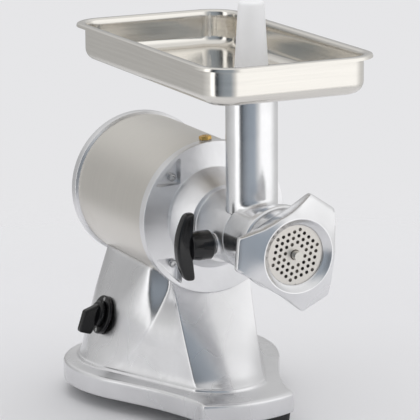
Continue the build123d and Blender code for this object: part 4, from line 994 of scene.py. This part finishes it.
# Ring nut. A buffed aluminium casting with three flat lobes to grip, a crisp turned rim round a conical
# mouth, and a threaded skirt behind.
first_lobe, lobe_apart, lobe_reach, lobe_half, lobe_corner = 55.5, 120, 65.5, 17.5, 5.0
corner_angle, corner_reach, waist_dip, waist_power, waist_corner = 14.96, 67.8, 21.8, 0.62, 40.0
rim_radius, rim_front, lobe_fall, between_fall = 41.5, -111.4, 14.4, 0.6
nut_corners = []
for lobe in range(3):
    turn = math.radians(first_lobe + lobe_apart * lobe)
    for side in (-lobe_half, lobe_half):
        x = lobe_reach * math.cos(turn) - side * math.sin(turn)
        z = lobe_reach * math.sin(turn) + side * math.cos(turn)
        nut_corners.append((x, z, lobe_corner))
    for share in (0.25, 0.4, 0.5, 0.6, 0.75):
        angle = turn + math.radians(corner_angle + (lobe_apart - 2 * corner_angle) * share)
        radius = corner_reach - waist_dip * (1 - (2 * share - 1) ** 2) ** waist_power
        nut_corners.append((radius * math.cos(angle), radius * math.sin(angle), waist_corner))
nut_outline = rounded_ring(nut_corners, 6)


def nut_face(radius, angle):
    """Level of the nut's front: flat towards each lobe's straight end, a cone between the lobes."""
    off_lobe = (math.degrees(angle) - first_lobe + lobe_apart / 2) % lobe_apart - lobe_apart / 2
    ahead, aside = around(radius, [math.radians(off_lobe)])[0]
    cone = rim_front + between_fall * (radius - rim_radius)
    rim = math.sqrt(max(rim_radius**2 - min(abs(aside), 30.0) ** 2, 1.0))
    flat = rim_front + lobe_fall * max(0.0, ahead - rim) / (lobe_reach - rim)
    return cone + (flat - cone) * soft(share_of(abs(off_lobe), 40, 26))


nut_sections = []
for x, z in spaced(nut_outline + nut_outline[:1], 300):
    angle, edge = math.atan2(z, x), max(math.hypot(x, z), 46.4)
    section = [(39.8, -74.0), (45.0, -74.0), (45.7, -74.3), (46.0, -75.0), (46.0, -88.6), (46.2, -89.6)]
    section += [(max(edge - 1.6, 46.25), -90.0), (edge - 0.4, -90.3), (edge, -91.0)]
    section += [(edge, nut_face(edge, angle) + 1.1), (edge - 0.25, nut_face(edge, angle) + 0.4)]
    for step in range(8):
        radius = edge - 0.9 + (42.2 - edge + 0.9) * step / 7
        section.append((radius, nut_face(radius, angle)))
    section += [(41.7, -111.32), (41.3, rim_front), (40.6, rim_front), (40.2, -111.2)]
    for share in [step / 5 for step in range(6)]:
        section.append((40.0 - 6.9 * share, -111.0 + 6.0 * share + 0.4 * math.sin(math.pi * share)))
    section += [(32.85, -104.5), (32.8, -103.6), (33.1, -103.25)]
    section += [(35.3, -103.25), (35.3, -99.3), (39.8, -99.3)]
    nut_sections.append([(r * math.cos(angle), level, r * math.sin(angle)) for r, level in section])
nut = skin("lobed_nut", zip(*nut_sections), ring=True, edge_angle=33)
nut.data.materials.append(buffed_casting("buffed_nut", (0.82, 0.82, 0.83), 0.25, 16.0, 0.03, 0.12))
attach(nut, "nut")
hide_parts("ring_nut")


# Lock knob. A glossy black moulding with a round hub and two bowed wings, on a threaded stud that presses
# on the head's spigot through a washer.
knob = turned("winged_knob", rounded([
    (pole, 59.0, 0), (5.0, 59.0, 0), (5.0, 43.0, 0), (11.4, 43.0, 0.5), (16.5, 47.0, 0.8), (16.5, 60.0, 2.0),
    (14.8, 70.0, 2.0), (10.0, 71.5, 1.0), (pole, 72.0, 0),
]), lock_seat, 72)
wing_reach, wing_top, wing_bow, wing_thick, tip_length = 38.0, 87.0, 11.0, 13.0, 4.0
wing_levels = (0.0, 5.0, 9.0, 10.5, 12.0, 13.5, 15.0, 19.0, 25.0, 31.0, 35.0, 36.8, 37.7, wing_reach)
wing_rows = []
for up in [-level for level in wing_levels[:0:-1]] + list(wing_levels):
    tip = share_of(abs(up), wing_reach - tip_length, wing_reach)
    tip_round = 1.0 - math.sqrt(1.0 - tip * tip)
    bow = (up / wing_reach) ** 2
    shoulder = soft(share_of(abs(up), 8.0, 15.0))
    outer = wing_top - wing_bow * bow - 3.0 * tip_round
    inner = 62.0 + 6.0 * shoulder - 3.0 * share_of(abs(up), 14.0, wing_reach) + 2.0 * tip_round
    thick = wing_thick - 1.6 * bow - 4.0 * tip_round
    middle, deep = (outer + inner) / 2, outer - inner
    loop = square_loop(deep, thick, min(3.0, 0.45 * thick, 0.45 * deep), 5)
    wing_rows.append([lock_seat @ Vector((up, y, middle + x)) for x, y in loop])
combine(knob, skin("wings", wing_rows), "UNION", 34)
knob.data.materials.append(moulded("glossy_black", jet, jet_bloom, 0.12, 0.09, 1600.0, 0.02, 0.5))
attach(knob, "lock_screw")
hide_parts("lock_knob")
dress(zinc_screws, "lock_stud", "lock_washer")


# Tray. One pan pressed from polished stainless sheet, with a flat rim turned down at its edge and a short
# sleeve that drops into the feed tube.
tray_middle, pan_width, pan_length, pan_corner = 79.4, 189.7, 366.4, 30.0
floor_level, floor_round = 167.0, 13.0
# These two are in metres.
sheet_thickness, walls_start = 0.0012, 0.4


def pan_loop(out, z):
    """Loop of the pan at a level, so far out from its wall."""
    loop = square_loop(pan_width + 2 * out, pan_length + 2 * out, pan_corner + out, 12, 10)
    return [(x, tray_middle + y, z) for x, y in loop]


sleeve_angles = [math.atan2(y, x) for x, y, z in pan_loop(0.0, floor_level)]
tray_rows = [
    [(x, y, z) for x, y in around(radius, sleeve_angles)]
    for radius, z in (
        (25.1, 149.0), (25.1, 158.0), (25.1, 165.6), (25.4, 166.5), (26.2, floor_level), (34.0, floor_level),
    )
]
sleeve_edge, floor_edge = tray_rows[-1], pan_loop(-floor_round, floor_level)
tray_rows += [[between(p, q, share) for p, q in zip(sleeve_edge, floor_edge)] for share in (0.3, 0.65)]
for turn in [math.radians(angle) for angle in range(0, 91, 15)]:
    out = -floor_round * (1 - math.sin(turn))
    tray_rows.append(pan_loop(out, floor_level + floor_round - floor_round * math.cos(turn)))
tray_rows += [pan_loop(out, z) for out, z in (
    (0.0, 190.0), (0.0, 200.0), (0.0, 207.2), (0.4, 208.2), (1.4, 208.8), (7.4, 208.8), (8.4, 208.4),
    (8.8, 207.4), (8.8, 206.2),
)]
tray = skin("pressed_tray", tray_rows, capped=False)
low_faces = [face for face in tray.data.polygons if face.center.z < walls_start]
if sum(face.normal.z * face.area for face in low_faces) > 0:
    tray.data.flip_normals()
sheet = tray.modifiers.new("sheet", "SOLIDIFY")
sheet.thickness, sheet.offset, sheet.use_even_offset = sheet_thickness, -1.0, True
plain_mesh(tray, 40)
polished = turned_steel("polished_tray", (0.78, 0.755, 0.71), 0.15, 0.02, (8.0, 8.0, 300.0), 0.02)
tray.data.materials.append(polished)
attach(tray, "meat_tray")
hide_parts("tray")


# Pusher. A plug moulded from white nylon, with a handle tapered to a rounded top, that hangs in the feed
# tube by its collar.
pusher = turned("nylon_pusher", rounded([
    (pole, 90.0, 0), (22.0, 90.0, 2.0), (22.0, 168.2, 0), (32.0, 168.2, 0.8), (32.0, 174.2, 2.0),
    (19.4, 174.2, 1.5), (14.2, 261.5, 4.5), (pole, 261.5, 0),
], 8), upright, 72)
pusher.data.materials.append(white_nylon)
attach(pusher, "stomper")
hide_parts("pusher")
